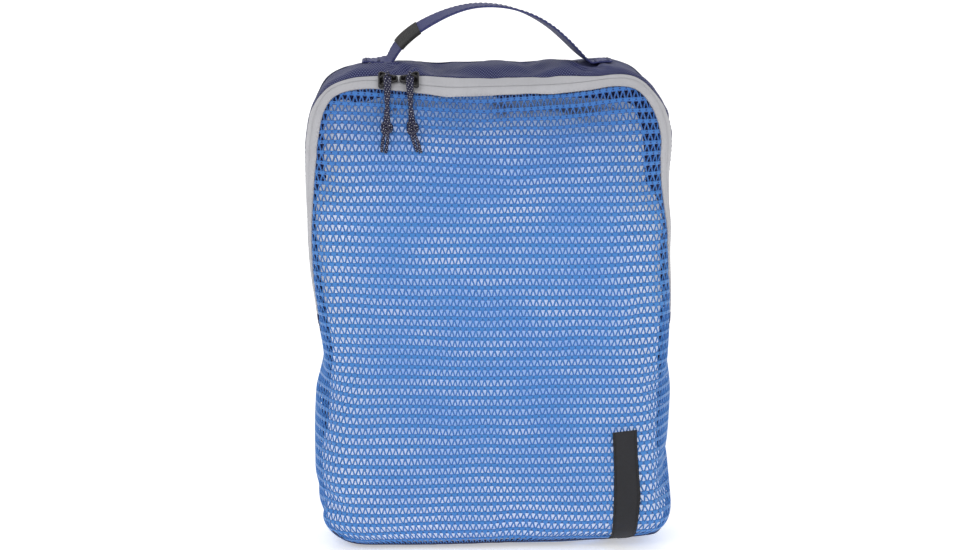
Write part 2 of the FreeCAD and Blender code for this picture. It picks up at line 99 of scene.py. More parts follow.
# ------------------------------------------------------------------ numeric helpers
NOISE = np.random.default_rng(11).uniform(-1, 1, (256, 256))


def noise2(x, y, seed):
    """Smooth value noise, -1 to 1, one feature per unit."""
    x = np.asarray(x, float) + 37.31 * seed + 400.0
    y = np.asarray(y, float) + 91.73 * seed + 400.0
    col, row = np.floor(x).astype(int), np.floor(y).astype(int)
    x, y = x - col, y - row
    x = x * x * x * (x * (x * 6 - 15) + 10)
    y = y * y * y * (y * (y * 6 - 15) + 10)

    def pair(row):
        return NOISE[col & 255, row & 255] * (1 - x) + NOISE[(col + 1) & 255, row & 255] * x

    return pair(row) * (1 - y) + pair(row + 1) * y


def smooth(value):
    value = np.clip(value, 0, 1)
    return value * value * (3 - 2 * value)


def bell(value):
    return np.exp(-np.square(value))


def pack(*parts):
    """Stacks coordinates into points along a new last axis."""
    return np.stack(np.broadcast_arrays(*parts), -1)


def unit(vectors):
    return vectors / np.linalg.norm(vectors, axis=1)[:, None]


def path_run(points):
    """Length along a path at each of its points."""
    steps = np.linalg.norm(np.diff(points, axis=0), axis=1)
    return np.concatenate([[0], np.cumsum(steps)])


def along_path(at, run, points):
    return pack(*[np.interp(at, run, column) for column in points.T])


def catmull_rom(points, steps):
    """Curve from the second point to the last but one, without its end point."""
    t = np.linspace(0, 1, steps, endpoint=False)[:, None]
    return np.concatenate([
        0.5 * (2 * start + (end - before) * t
               + (2 * before - 5 * start + 4 * end - after) * t**2
               + (3 * start - before - 3 * end + after) * t**3)
        for before, start, end, after in zip(points, points[1:], points[2:], points[3:])
    ])


def spline(points, count):
    """Catmull-Rom curve through the points, resampled to even steps."""
    points = np.asarray(points, float)
    first, last = 2 * points[0] - points[1], 2 * points[-1] - points[-2]
    curve = catmull_rom(np.concatenate([[first], points, [last]]), 16)
    curve = np.concatenate([curve, points[-1:]])
    run = path_run(curve)
    return along_path(np.linspace(0, run[-1], count), run, curve)


def even_ring(points, count):
    """Closed loop resampled to even steps, with its length."""
    ring = np.concatenate([points, points[:1]])
    run = path_run(ring)
    return along_path(np.arange(count) / count * run[-1], run, ring), run[-1]


def ring_smooth(values, reach):
    weights = np.hanning(2 * reach + 3)[1:-1]
    weights /= weights.sum()
    return sum(w * np.roll(values, i - reach, axis=0) for i, w in enumerate(weights))


# ------------------------------------------------------------------ mesh helpers
def link(name, data):
    ob = bpy.data.objects.new(name, data)
    scene.collection.objects.link(ob)
    return ob


def add_uv(mesh, name, points):
    """Adds a UV map from one value per vertex."""
    corners = np.empty(len(mesh.loops), np.int32)
    mesh.loops.foreach_get("vertex_index", corners)
    layer = mesh.uv_layers.new(name=name)
    layer.data.foreach_set("uv", points[corners].astype(np.float32).ravel())


def make(name, verts, faces, mat, uv):
    """Smooth mesh object from vertices in mm and a list of face arrays."""
    groups = [np.asarray(group, np.int64) for group in faces if len(group)]
    loops = np.concatenate([group.ravel() for group in groups]).astype(np.int32)
    sizes = np.concatenate([np.full(len(group), group.shape[1]) for group in groups])
    starts = np.concatenate([[0], np.cumsum(sizes)[:-1]]).astype(np.int32)
    mesh = bpy.data.meshes.new(name)
    mesh.vertices.add(len(verts))
    mesh.vertices.foreach_set("co", (verts * MM).ravel())
    mesh.loops.add(len(loops))
    mesh.loops.foreach_set("vertex_index", loops)
    mesh.polygons.add(len(sizes))
    mesh.polygons.foreach_set("loop_start", starts)
    mesh.polygons.foreach_set("use_smooth", np.ones(len(sizes), bool))
    add_uv(mesh, "weave", uv)
    mesh.update(calc_edges=True)
    mesh.validate()
    ob = link(name, mesh)
    mesh.materials.append(mat)
    return ob


def tell(ob, *replaced, slot=None, ride="shell", blend=None):
    if blend:
        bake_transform(ob)
    else:
        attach(ob, ride)
    if replaced:
        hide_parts(*replaced)


def grid_faces(rows, count, closed=False):
    """Quads of a grid; closed joins the last row to the first."""
    i = np.arange(rows if closed else rows - 1)[:, None]
    j = np.arange(count - 1)[None, :]
    after = (i + 1) % rows
    quads = [i * count + j, after * count + j, after * count + j + 1, i * count + j + 1]
    return np.stack(quads, -1).reshape(-1, 4)


def loft_faces(rows, count):
    """Quads between stacked closed rings."""
    i = np.arange(rows - 1) * count
    seam = pack(i + count - 1, i + 2 * count - 1, i + count, i)
    return np.concatenate([grid_faces(rows, count), seam])


def fan_caps(rows, count):
    """Triangles that close stacked rings to two end points added after them."""
    j = np.arange(count)
    following = (j + 1) % count
    last = (rows - 1) * count
    return np.concatenate([
        pack(rows * count, following, j),
        pack(rows * count + 1, last + j, last + following),
    ])


def slab(name, sheet, along, across, lift, thick, mat, closed=False, uv=None):
    """Closed strip of cloth on a sheet; the thickness is measured inwards."""
    rows, count = along.shape
    outer = sheet.at(along, across, lift).reshape(-1, 3)
    inner = sheet.at(along, across, lift - thick).reshape(-1, 3)
    total = rows * count
    quads = grid_faces(rows, count, closed)
    faces = [quads[:, ::-1], quads + total]
    index = np.arange(total).reshape(rows, count)
    rims = [index[:, 0], index[::-1, -1]]
    if not closed:
        rims += [index[-1, :], index[0, ::-1]]
    for rim in rims:
        here = rim if closed else rim[:-1]
        after = np.roll(rim, -1) if closed else rim[1:]
        faces.append(pack(here, here + total, after + total, after))
    if uv is None:
        uv = pack(along.ravel(), across.ravel())
    return make(name, np.concatenate([outer, inner]), faces, mat, np.concatenate([uv, uv]))


def tube(points, radius, sides, closed=False):
    """Round cord: vertices, quads, cap triangles and (length, angle) coordinates."""
    centre = np.asarray(points, float)
    count = len(centre)
    if closed:
        tangent = unit(np.roll(centre, -1, 0) - np.roll(centre, 1, 0))
    else:
        tangent = unit(np.gradient(centre, axis=0))
    upward = (0, 0, 1.0) if abs(tangent[0][2]) < 0.9 else (0, 1.0, 0)
    spoke = np.cross(tangent[0], upward)
    spokes = [spoke / np.linalg.norm(spoke)]
    for direction in tangent[1:]:
        spoke = spokes[-1] - direction * (spokes[-1] @ direction)
        spokes.append(spoke / np.linalg.norm(spoke))
    spokes = np.array(spokes)
    cross = np.cross(tangent, spokes)
    radii = np.broadcast_to(np.asarray(radius, float), (count,))
    angle = np.arange(sides) / sides * 2 * math.pi
    verts = (
        centre[:, None]
        + (np.cos(angle) * radii[:, None])[..., None] * spokes[:, None]
        + (np.sin(angle) * radii[:, None])[..., None] * cross[:, None]
    ).reshape(-1, 3)
    i = np.arange(count if closed else count - 1)[:, None]
    j = np.arange(sides)[None, :]
    row, after = i * sides, (i + 1) % count * sides
    turn = (j + 1) % sides
    quads = np.stack([row + j, row + turn, after + turn, after + j], -1).reshape(-1, 4)
    uv = pack(np.repeat(path_run(centre), sides), np.tile(angle, count))
    caps = np.zeros((0, 3), int)
    if not closed:
        start = centre[:1] - tangent[:1] * radii[0] * 0.35
        end = centre[-1:] + tangent[-1:] * radii[-1] * 0.35
        verts = np.concatenate([verts, start, end])
        uv = np.concatenate([uv, uv[:1], uv[-1:]])
        caps = fan_caps(count, sides)
    return verts, quads, caps, uv


def join(parts):
    """Merges parts into vertices, [quads, triangles] and coordinates."""
    verts, quads, tris, uvs = zip(*parts)
    bases = np.cumsum([0] + [len(part) for part in verts[:-1]])
    faces = [np.concatenate([f + base for f, base in zip(group, bases)])
             for group in (quads, tris)]
    return np.concatenate(verts), faces, np.concatenate(uvs)


def make_parts(name, parts, mat):
    verts, faces, uv = join(parts)
    return make(name, verts, faces, mat, uv)


# ------------------------------------------------------------------ materials
def srgb(*channels):
    """Linear colour with alpha from 0 to 255 display values."""
    parts = [channel / 255.0 for channel in channels]
    return tuple(c / 12.92 if c <= 0.04045 else ((c + 0.055) / 1.055) ** 2.4
                 for c in parts) + (1,)


class Shader:
    """Wires a procedural material; its weave map is in millimetres."""

    def __init__(self, name, rough, metal=0.0):
        self.mat = bpy.data.materials.new(name)
        self.mat.use_nodes = True
        self.tree = self.mat.node_tree
        self.bsdf = self.tree.nodes["Principled BSDF"]
        self.set("Roughness", rough)
        self.set("Metallic", metal)
        self.weave = self.uv_map("weave")

    def node(self, kind, **settings):
        node = self.tree.nodes.new("ShaderNode" + kind)
        for key, value in settings.items():
            setattr(node, key, value)
        return node

    def put(self, socket, value):
        """Links an output to the socket, or sets a plain value."""
        if hasattr(value, "is_output"):
            self.tree.links.new(value, socket)
        else:
            socket.default_value = value

    def set(self, name, value):
        self.put(self.bsdf.inputs[name], value)

    def uv_map(self, name):
        return self.node("UVMap", uv_map=name).outputs[0]

    def split(self, vector):
        node = self.node("SeparateXYZ")
        self.put(node.inputs[0], vector)
        return node.outputs[0], node.outputs[1]

    def math(self, operation, first, second=0.0, third=None, clamp=False):
        node = self.node("Math", operation=operation, use_clamp=clamp)
        self.put(node.inputs[0], first)
        self.put(node.inputs[1], second)
        if third is not None:
            self.put(node.inputs[2], third)
        return node.outputs[0]

    def add(self, first, second, clamp=False):
        return self.math("ADD", first, second, clamp=clamp)

    def sub(self, first, second, clamp=False):
        return self.math("SUBTRACT", first, second, clamp=clamp)

    def mul(self, first, second, clamp=False):
        return self.math("MULTIPLY", first, second, clamp=clamp)

    def rise(self, value, start, gain):
        """0 up to start, then rising to 1."""
        return self.mul(self.sub(value, start), gain, clamp=True)

    def fall(self, value, end, gain):
        """Up to 1 below end, 0 above it."""
        return self.mul(self.sub(end, value), gain, clamp=True)

    def hypot(self, first, second):
        return self.math("SQRT", self.add(self.mul(first, first), self.mul(second, second)))

    def noise(self, scale, detail=2.0, rough=0.5, vector=None):
        node = self.node("TexNoise")
        for key, value in (("Scale", scale), ("Detail", detail), ("Roughness", rough)):
            node.inputs[key].default_value = value
        self.put(node.inputs["Vector"], vector or self.weave)
        return node.outputs["Fac"]

    def wave(self, coordinate, period):
        """0 to 1 wave along a coordinate."""
        phase = self.math("MULTIPLY_ADD", coordinate, 2 * math.pi / period, 0.0)
        return self.math("MULTIPLY_ADD", self.math("SINE", phase), 0.5, 0.5)

    def mix(self, factor, first, second):
        node = self.node("Mix", data_type="RGBA")
        self.put(node.inputs[0], factor)
        self.put(node.inputs[6], first)
        self.put(node.inputs[7], second)
        return node.outputs[2]

    def color(self, value):
        self.set("Base Color", value)

    def bump(self, height, depth, strength):
        node = self.node("Bump")
        node.inputs["Strength"].default_value = strength
        node.inputs["Distance"].default_value = depth * MM
        self.put(node.inputs["Height"], height)
        self.set("Normal", node.outputs[0])

    def sheen(self, weight, rough=0.5, tint=(1, 1, 1, 1)):
        self.set("Sheen Weight", weight)
        self.set("Sheen Roughness", rough)
        self.set("Sheen Tint", tint)


def net_material():
    sh = Shader("net_blue", rough=0.5)
    side, up = sh.split(sh.weave)
    # the relief map holds yarn height and a fade towards the top of the cube; both drive painted
    # light and shade
    relief, high = sh.split(sh.uv_map("relief"))
    knit = sh.mul(sh.wave(side, period=0.78), sh.wave(up, period=0.62))
    fuzz = sh.noise(scale=1.6, detail=3, rough=0.6)
    # painted dark eyelet in the middle of each knot row, for the shade seen through a small knit
    # hole;
    # every other row is shifted half a pitch, and whole pitches and rows are added to keep the
    # modulo positive
    row = sh.math("ROUND", sh.math("DIVIDE", up, NET_ROW))
    odd = sh.math("MODULO", sh.add(row, 101.0), 2.0)
    shifted = sh.add(sh.sub(side, sh.mul(odd, NET_PITCH / 2)), NET_PITCH * 200.5)
    off_side = sh.sub(sh.math("MODULO", shifted, NET_PITCH), NET_PITCH / 2)
    off_up = sh.mul(sh.sub(up, sh.mul(row, NET_ROW)), 1.25)
    outside = sh.rise(sh.hypot(off_side, off_up), start=0.42, gain=3.0)
    shaded_eyelet = sh.sub(1.0, outside, clamp=True)
    low_yarn_shade, mid, pale = srgb(18, 66, 148), srgb(42, 112, 194), srgb(80, 150, 214)
    # painted shade: the net yarn is darker towards the top of the cube
    base = sh.mix(high, srgb(50, 124, 200), srgb(22, 80, 168))
    broad = sh.math("MULTIPLY_ADD", sh.noise(scale=0.035), 1.2, -0.1, clamp=True)
    base = sh.mix(broad, base, mid)
    # painted highlight where the yarn stands highest and painted shade where it dips at the hole
    # edges
    base = sh.mix(sh.mul(sh.mul(relief, relief), 0.22), base, pale)
    base = sh.mix(sh.fall(relief, end=1.0, gain=0.35), base, low_yarn_shade)
    base = sh.mix(sh.mul(knit, 0.22), base, pale)
    sh.color(sh.mix(sh.mul(shaded_eyelet, 0.92), base, srgb(14, 34, 96)))
    height = sh.sub(sh.add(knit, fuzz), sh.mul(shaded_eyelet, 3.0))
    sh.bump(height, depth=0.10, strength=0.8)
    sh.sheen(0.25, rough=0.4)
    return sh.mat


def navy_material():
    """Small raised dots set out like bricks on a fine plain weave."""
    sh = Shader("navy_cloth", rough=0.62)
    side, up = sh.split(sh.weave)
    wide, tall = 1.9, 1.7  # spacing of the dots
    row = sh.math("FLOOR", sh.math("DIVIDE", up, tall))
    half = sh.mul(sh.math("MODULO", row, 2.0), wide / 2)
    shifted = sh.add(sh.add(side, half), 5000 * wide)
    off_side = sh.sub(sh.math("MODULO", shifted, wide), wide / 2)
    off_up = sh.sub(sh.math("MODULO", sh.add(up, 5000 * tall), tall), tall / 2)
    far = sh.math("DIVIDE", sh.hypot(off_side, off_up), 0.74)
    dot = sh.sub(1.0, sh.math("SMOOTH_MIN", far, 1.0, 0.2), clamp=True)
    fine = sh.mul(sh.wave(side, period=0.42), sh.wave(up, period=0.42))
    broad = sh.noise(scale=0.045, detail=3, rough=0.55)
    base = sh.mix(broad, srgb(22, 25, 66), srgb(34, 38, 86))
    base = sh.mix(sh.mul(fine, 0.25), base, srgb(58, 62, 108))
    sh.color(sh.mix(sh.mul(dot, 0.9, clamp=True), base, srgb(128, 134, 178)))
    sh.bump(sh.add(sh.mul(dot, 1.4), sh.mul(fine, 0.5)), depth=0.16, strength=0.9)
    sh.sheen(0.03, rough=0.35, tint=(0.75, 0.8, 1, 1))
    sh.set("Specular IOR Level", 0.22)
    return sh.mat


def tape_material():
    sh = Shader("tape_grey", rough=0.7)
    side, up = sh.split(sh.weave)
    ribs = sh.wave(side, period=0.95)
    fine = sh.mul(ribs, sh.wave(up, period=0.55))
    soil = sh.noise(scale=0.06, detail=3, rough=0.6)
    base = sh.mix(soil, srgb(176, 176, 181), srgb(197, 197, 202))
    sh.color(sh.mix(sh.mul(fine, 0.35), base, srgb(158, 157, 161)))
    sh.bump(sh.add(ribs, fine), depth=0.09, strength=0.8)
    sh.sheen(0.2)
    return sh.mat


def webbing_material():
    """Herringbone ribs along the strap."""
    sh = Shader("navy_webbing", rough=0.55)
    side, up = sh.split(sh.weave)
    zigzag = sh.math("PINGPONG", up, 2.6)
    rib = sh.wave(sh.add(side, sh.mul(zigzag, 0.9)), period=1.25)
    ridge = sh.wave(up, period=1.3)
    base = sh.mix(sh.noise(scale=0.08, detail=3), srgb(32, 36, 86), srgb(47, 52, 108))
    sh.color(sh.mix(sh.mul(rib, 0.5), base, srgb(84, 89, 146)))
    sh.bump(sh.add(rib, sh.mul(ridge, 0.6)), depth=0.22, strength=0.9)
    sh.sheen(0.04, rough=0.35, tint=(0.8, 0.85, 1, 1))
    sh.set("Specular IOR Level", 0.25)
    return sh.mat


def woven_material(name, dark, light):
    """Close weave of the bindings and labels."""
    sh = Shader(name, rough=0.7)
    side, up = sh.split(sh.weave)
    weft = sh.wave(up, period=0.62)
    weave = sh.mul(weft, sh.wave(side, period=0.5))
    mottle = sh.mul(sh.noise(scale=0.4, detail=3), 0.3)
    sh.color(sh.mix(sh.add(sh.mul(weave, 0.6), mottle), dark, light))
    sh.bump(sh.add(weft, weave), depth=0.10, strength=0.8)
    return sh.mat


def cord_material():
    """Braid: diamonds that wind both ways, some yarns pale, with painted shade between the
    yarns.
    """
    sh = Shader("cord_black", rough=0.6)
    length, angle = sh.split(sh.weave)
    turn = sh.mul(angle, 6 / (2 * math.pi))
    rising = sh.add(sh.mul(length, 0.82), turn)
    falling = sh.sub(sh.mul(length, 0.82), turn)
    yarn = sh.add(sh.math("FLOOR", rising), sh.mul(sh.math("FLOOR", falling), 2.0))
    pale = sh.math("LESS_THAN", sh.math("MODULO", sh.add(yarn, 396.0), 4.0), 0.5)
    body = sh.mul(sh.math("PINGPONG", rising, 0.5), sh.math("PINGPONG", falling, 0.5))
    # painted shade: each yarn is lighter at its crown and darker where it dips under its
    # neighbours
    yarn_shade = sh.mix(sh.mul(body, 4.0, clamp=True), srgb(5, 6, 28), srgb(26, 28, 96))
    core = sh.math("GREATER_THAN", body, 0.085)
    sh.color(sh.mix(sh.mul(pale, core), yarn_shade, srgb(206, 206, 214)))
    sh.bump(body, depth=0.9, strength=0.9)
    return sh.mat


def fill_material():
    """Pale cloth with painted light: lighter in patches, towards the sides and the bottom,
    painted shade at the top, and a painted glow where it is covered.
    """
    sh = Shader("packed_cloth", rough=0.85)
    side, up = sh.split(sh.weave)
    fine = sh.mul(sh.wave(side, period=0.9), sh.wave(up, period=0.9))
    stretch = sh.node("VectorMath", operation="MULTIPLY")
    sh.put(stretch.inputs[0], sh.weave)
    stretch.inputs[1].default_value = (0.8, 1.5, 1)
    # painted light seen through the net: brighter patches, sides and bottom
    patch = sh.noise(scale=0.021, rough=0.55, vector=stretch.outputs[0])
    patch = sh.rise(patch, start=0.44, gain=3.6)
    edge = sh.rise(sh.math("ABSOLUTE", side), start=72.0, gain=0.028)
    low = sh.fall(up, end=92.0, gain=0.014)
    top = sh.rise(up, start=286.0, gain=0.028)
    lit = sh.add(sh.math("MAXIMUM", patch, edge), sh.mul(low, 0.7), clamp=True)
    tone = sh.mix(lit, srgb(172, 206, 247), srgb(234, 243, 254))
    # painted shade towards the top of the cloth
    tone = sh.mix(sh.mul(top, 0.6), tone, srgb(140, 172, 228))
    # painted glow: the cloth emits light only where something covers it closely, standing in for
    # light coming through the net
    cover = sh.node("AmbientOcclusion", samples=4)
    cover.inputs["Distance"].default_value = 0.03
    near = sh.fall(cover.outputs["AO"], end=0.92, gain=3.2)
    sh.set("Emission Color", tone)
    sh.set("Emission Strength", sh.mul(near, 0.44))
    # where covered, the base colour also takes the painted light tone; bare cloth is only a
    # little lighter in patches
    bare = sh.mix(patch, srgb(196, 205, 222), srgb(216, 221, 231))
    sh.color(sh.mix(near, bare, tone))
    sh.bump(fine, depth=0.12, strength=0.5)
    sh.sheen(0.2)
    return sh.mat


def mottled(name, dark, light, tone, grain, depth, strength, rough, metal=0.0):
    """Soft two-tone surface; tone and grain are noise settings for colour and bump."""
    sh = Shader(name, rough, metal)
    sh.color(sh.mix(sh.noise(**tone), dark, light))
    sh.bump(sh.noise(**grain), depth, strength)
    return sh


def slider_material():
    sh = mottled(
        "black_slider", srgb(20, 19, 20), srgb(38, 36, 38), tone=dict(scale=0.9, detail=3),
        grain=dict(scale=1.5, detail=3), depth=0.05, strength=0.5, rough=0.34, metal=0.25)
    sh.set("Coat Weight", 0.35)
    sh.set("Coat Roughness", 0.25)
    return sh.mat


def coil_material():
    return mottled(
        "coil_grey", srgb(176, 176, 182), srgb(200, 200, 205), tone=dict(scale=0.5, detail=2),
        grain=dict(scale=3.0, detail=2), depth=0.03, strength=0.4, rough=0.45).mat


def thread_material(name, dark, light):
    return mottled(
        name, dark, light, tone=dict(scale=0.5, detail=3),
        grain=dict(scale=2.0, detail=4, rough=0.6), depth=0.03, strength=0.7, rough=0.6).mat


NET = net_material()
NAVY = navy_material()
TAPE = tape_material()
WEBBING = webbing_material()
CORD = cord_material()
FILL = fill_material()
SLIDER = slider_material()
COIL = coil_material()
BINDING = woven_material("navy_binding", srgb(14, 26, 66), srgb(34, 50, 104))
TAG = woven_material("black_tag", srgb(14, 14, 15), srgb(40, 39, 38))
LABEL = woven_material("label_black", srgb(20, 20, 24), srgb(44, 44, 50))
THREAD = thread_material("thread_grey", srgb(170, 170, 176), srgb(196, 196, 202))
THREAD_NAVY = thread_material("thread_navy", srgb(34, 38, 74), srgb(58, 63, 108))


# ------------------------------------------------------------------ outline of the cube
def trim(x, z):
    """Takes in the sides a little, as the cloth pass swells them again."""
    inward = 2.1 * min(1, max(0, (z - 30) / 30)) + 1.6 * min(1, max(0, (z - 150) / 30))
    inward += 1.4 * min(1, max(0, z / 30)) * min(1, max(0, (215 - z) / 60))
    return (x - math.copysign(min(inward, abs(x) * 0.035), x), z)


def smooth_outline():
    """Even outline points, their outward normals and the perimeter."""
    points = np.array([trim(x, z) for x, z in OUTLINE], float)
    curve = catmull_rom(np.concatenate([points[-1:], points, points[:2]]), 24)
    ring, length = even_ring(curve, STATIONS)
    ring = ring_smooth(ring, 3)
    tangent = np.roll(ring, -1, 0) - np.roll(ring, 1, 0)
    normals = unit(pack(tangent[:, 1], -tangent[:, 0]))
    return ring, unit(ring_smooth(normals, 5)), length


OUT, OUT_NORMAL, PERIMETER = smooth_outline()
STEP = PERIMETER / STATIONS
ALONG = np.arange(STATIONS) * STEP
TOP_INDEX = int(np.argmin(np.abs(OUT[:, 0]) + (OUT[:, 1] < 200) * 1e6))
CLOSED_OUT = np.concatenate([OUT, OUT[:1]])
CLOSED_ALONG = np.append(ALONG, PERIMETER)


def outline_at(along):
    """x and z of the outline at an arc length."""
    along = np.mod(along, PERIMETER)
    return [np.interp(along, CLOSED_ALONG, column) for column in CLOSED_OUT.T]


def by_height(values, z, right, margin):
    """Looks up outline values by height on one side, leaving a margin of points off."""
    if right:
        part = slice(margin, TOP_INDEX - margin)
    else:
        part = slice(TOP_INDEX + margin, STATIONS - margin)
    heights = OUT[part, 1]
    order = np.argsort(heights)
    return np.interp(z, heights[order], values[part][order])


def along_at_height(z, right):
    return float(by_height(ALONG, z, right, margin=0))


def half_width(z, right):
    return by_height(np.abs(OUT[:, 0]), z, right, margin=20)


def inset_of(x, z):
    """Distance inside the outline; negative outside."""
    x, z = np.asarray(x, float).ravel(), np.asarray(z, float).ravel()
    inset = np.empty(len(x))
    chunk = 4000  # limits memory
    for k in range(0, len(x), chunk):
        dx = x[k : k + chunk, None] - OUT[None, :, 0]
        dz = z[k : k + chunk, None] - OUT[None, :, 1]
        near = np.argmin(dx * dx + dz * dz, axis=1)
        row = np.arange(len(near))
        outward = dx[row, near] * OUT_NORMAL[near, 0] + dz[row, near] * OUT_NORMAL[near, 1]
        inset[k : k + chunk] = -outward
    return inset


def profile(across):
    """Section over the edge: inset, y, and the normal's outward and y parts."""
    across = np.asarray(across, float)
    front = np.clip(across / ROUND_FRONT, 0, math.pi / 2)
    back = np.clip((across - WALL_END) / ROUND_BACK, 0, math.pi / 2)
    inset = ROUND_FRONT * (1 - np.sin(front)) + np.maximum(-across, 0)
    y = CORNER_Y - ROUND_FRONT * np.cos(front) + np.clip(across - ARC_FRONT, 0, WALL)
    over = np.maximum(across - WALL_END - ARC_BACK, 0)
    inset = inset + ROUND_BACK * (1 - np.cos(back)) + over
    y = y + ROUND_BACK * np.sin(back)
    on_back = across > WALL_END
    normal_out = np.where(on_back, np.cos(back), np.sin(front))
    normal_y = np.where(on_back, np.sin(back), -np.cos(front))
    return inset, y, normal_out, normal_y


def across_of_depth(depth):
    """Arc length for a distance behind the front plane."""
    depth = np.asarray(depth, float)
    curved = ROUND_FRONT * np.arccos(np.clip(1 - depth / ROUND_FRONT, -1, 1))
    return np.where(depth < ROUND_FRONT, curved, ARC_FRONT + depth - ROUND_FRONT)


def lean(z, start, slope):
    return start + slope * np.maximum(Z_BEND - z, 0)


def line_across(along, line):
    return across_of_depth(lean(outline_at(along)[1], *line))


def back_line(along):
    """Back edge of the zip tape, narrower towards the top corners."""
    x, z = outline_at(along)
    narrow = smooth((np.abs(x + 6) - 48) / 36) * smooth((z - 314) / 20)
    return across_of_depth(lean(z, *TAPE_BACK_EDGE) - 3.3 * narrow)


# ------------------------------------------------------------------ soft forms
def form_mesh(name, insets):
    """Closed form lofted through the edge profile, moved inwards by insets."""
    stations = np.concatenate([
        np.linspace(0, ARC_FRONT, 9),
        ARC_FRONT + np.linspace(0, WALL, 8)[1:],
        WALL_END + np.linspace(0, ARC_BACK, 4)[1:],
    ])
    ring = np.arange(0, STATIONS, 2)
    rows = []
    for across in stations:
        inset, y, _, _ = profile(across)
        points = OUT[ring] - OUT_NORMAL[ring] * (inset + insets[ring][:, None])
        rows.append(pack(points[:, 0], float(y), points[:, 1]))
    verts = np.concatenate(rows)
    count, total = len(ring), len(verts)
    faces = loft_faces(len(stations), count).tolist()
    faces += [list(range(count)), list(range(total - 1, total - count - 1, -1))]
    mesh = bpy.data.meshes.new(name)
    mesh.from_pydata((verts * MM).tolist(), [], faces)
    mesh.update()
    return link(name, mesh)


def apply_modifiers(ob):
    graph = bpy.context.evaluated_depsgraph_get()
    graph.update()
    mesh = bpy.data.meshes.new_from_object(ob.evaluated_get(graph))
    ob.modifiers.clear()
    ob.data = mesh


def coords(ob):
    flat = np.empty(len(ob.data.vertices) * 3)
    ob.data.vertices.foreach_get("co", flat)
    return flat.reshape(-1, 3) * 1000


def set_coords(ob, points):
    ob.data.vertices.foreach_set("co", (points * MM).ravel())
    ob.data.update()


def remesh(ob, size):
    modifier = ob.modifiers.new("remesh", "REMESH")
    modifier.mode = "VOXEL"
    modifier.voxel_size = size * MM
    apply_modifiers(ob)


def subdivide(ob):
    modifier = ob.modifiers.new("sub", "SUBSURF")
    modifier.levels = modifier.render_levels = 1
    apply_modifiers(ob)


def front_bulge(inset):
    return 3.6 * (1 - np.exp(-np.square(np.maximum(inset, 0) / 52.0)))


def relax_cloth(ob, pinned, pressure, shrink, cap, bend, stiff, hold=1.0):
    """Short pressure pass, then applied; movement is held to a cap and scaled by hold."""
    frames = 20
    rest = coords(ob)
    group = ob.vertex_groups.new(name="pin")
    group.add(np.flatnonzero(pinned).tolist(), 1.0, "REPLACE")
    modifier = ob.modifiers.new("cloth", "CLOTH")
    cloth = modifier.settings
    cloth.quality = 6
    cloth.mass = 0.25
    cloth.tension_stiffness = cloth.compression_stiffness = stiff
    cloth.shear_stiffness = stiff * 0.3
    cloth.bending_stiffness = bend
    cloth.use_pressure = True
    cloth.uniform_pressure_force = pressure
    cloth.shrink_min = shrink
    cloth.vertex_group_mass = "pin"
    cloth.effector_weights.gravity = 0
    modifier.collision_settings.use_collision = False
    modifier.point_cache.frame_start, modifier.point_cache.frame_end = 1, frames
    for frame in range(1, frames + 1):
        scene.frame_set(frame)
        bpy.context.view_layer.update()
    apply_modifiers(ob)
    now = coords(ob)
    if not np.isfinite(now).all():  # a solver that blew up leaves the form at rest
        now = rest
    move = now - rest
    length = np.linalg.norm(move, axis=1)[:, None]
    limit = np.minimum(1, cap / np.maximum(length, 1e-6))
    set_coords(ob, rest + move * limit * np.reshape(hold, (-1, 1)))
    scene.frame_set(1)


def sagged(points):
    """Slump of the top edge between the two corners, strongest at the front."""
    x, y, z = points[..., 0], points[..., 1], points[..., 2]
    top = smooth((z - 296) / 44) * smooth((22 - y) / 44)
    sag = 3.2 * bell((x + 2) / 66.0) - 1.4 * bell((x - 94) / 20.0) - 0.4 * bell((x + 92) / 22.0)
    top_front = smooth((z - 290) / 34) * smooth((-20 - y) / 14)
    more = 3.6 * bell((x + 22) / 62.0) + 1.7 * bell((x - 56) / 30.0)
    out = points.copy()
    out[..., 2] = z - sag * top - more * top_front
    # the upper corners draw in towards the back
    draw = smooth((y + 25) / 34) * smooth((z - 190) / 70)
    out[..., 0] = x * (1 - np.where(x > 0, 0.030, 0.016) * draw)
    crown = smooth((z - 325) / 15) * smooth((y + 22) / 20)
    out[..., 2] += crown * (3.4 * smooth((y - 8) / 22) - 2.0) * bell((x - 82) / 17)
    out[..., 2] -= crown * 1.6 * bell((x + 84) / 17)
    return out


def body_surface():
    """Relaxed outer form of the cube as a search tree; the form itself is removed."""
    body = form_mesh("body_form", np.zeros(STATIONS))
    remesh(body, 5.0)
    points = coords(body)
    inset = inset_of(points[:, 0], points[:, 2])
    on_front = smooth((-14 - points[:, 1]) / 18)
    on_back = smooth((points[:, 1] - 30) / 6)
    points[:, 1] -= front_bulge(inset) * on_front
    points[:, 1] += 2.0 * (1 - np.exp(-np.square(np.maximum(inset, 0) / 45.0))) * on_back
    points = sagged(points)
    set_coords(body, points)
    x, y, z = points.T
    wall = inset < 14
    closing = FRONT + lean(z, *CLOSING)
    # held at the back seam, along the zip above the fold, and at the base
    pinned = wall & (np.abs(y - 33) < 4.5)
    pinned |= wall & (z > Z_FOLD) & (np.abs(y - closing) < 4.5)
    pinned |= z < 9.5
    beside = smooth((np.abs(x) - 92) / 16) * smooth((z - 112) / 28)
    hold = 1 - 0.85 * beside * smooth((18 - inset) / 8)
    relax_cloth(body, pinned, pressure=4.0, shrink=-0.035, cap=4.5,
                bend=0.6, stiff=15.0, hold=hold)
    subdivide(body)
    polygons = [tuple(polygon.vertices) for polygon in body.data.polygons]
    surface = BVHTree.FromPolygons([Vector(point) for point in coords(body)], polygons)
    bpy.data.objects.remove(body)
    return surface


BODY = body_surface()


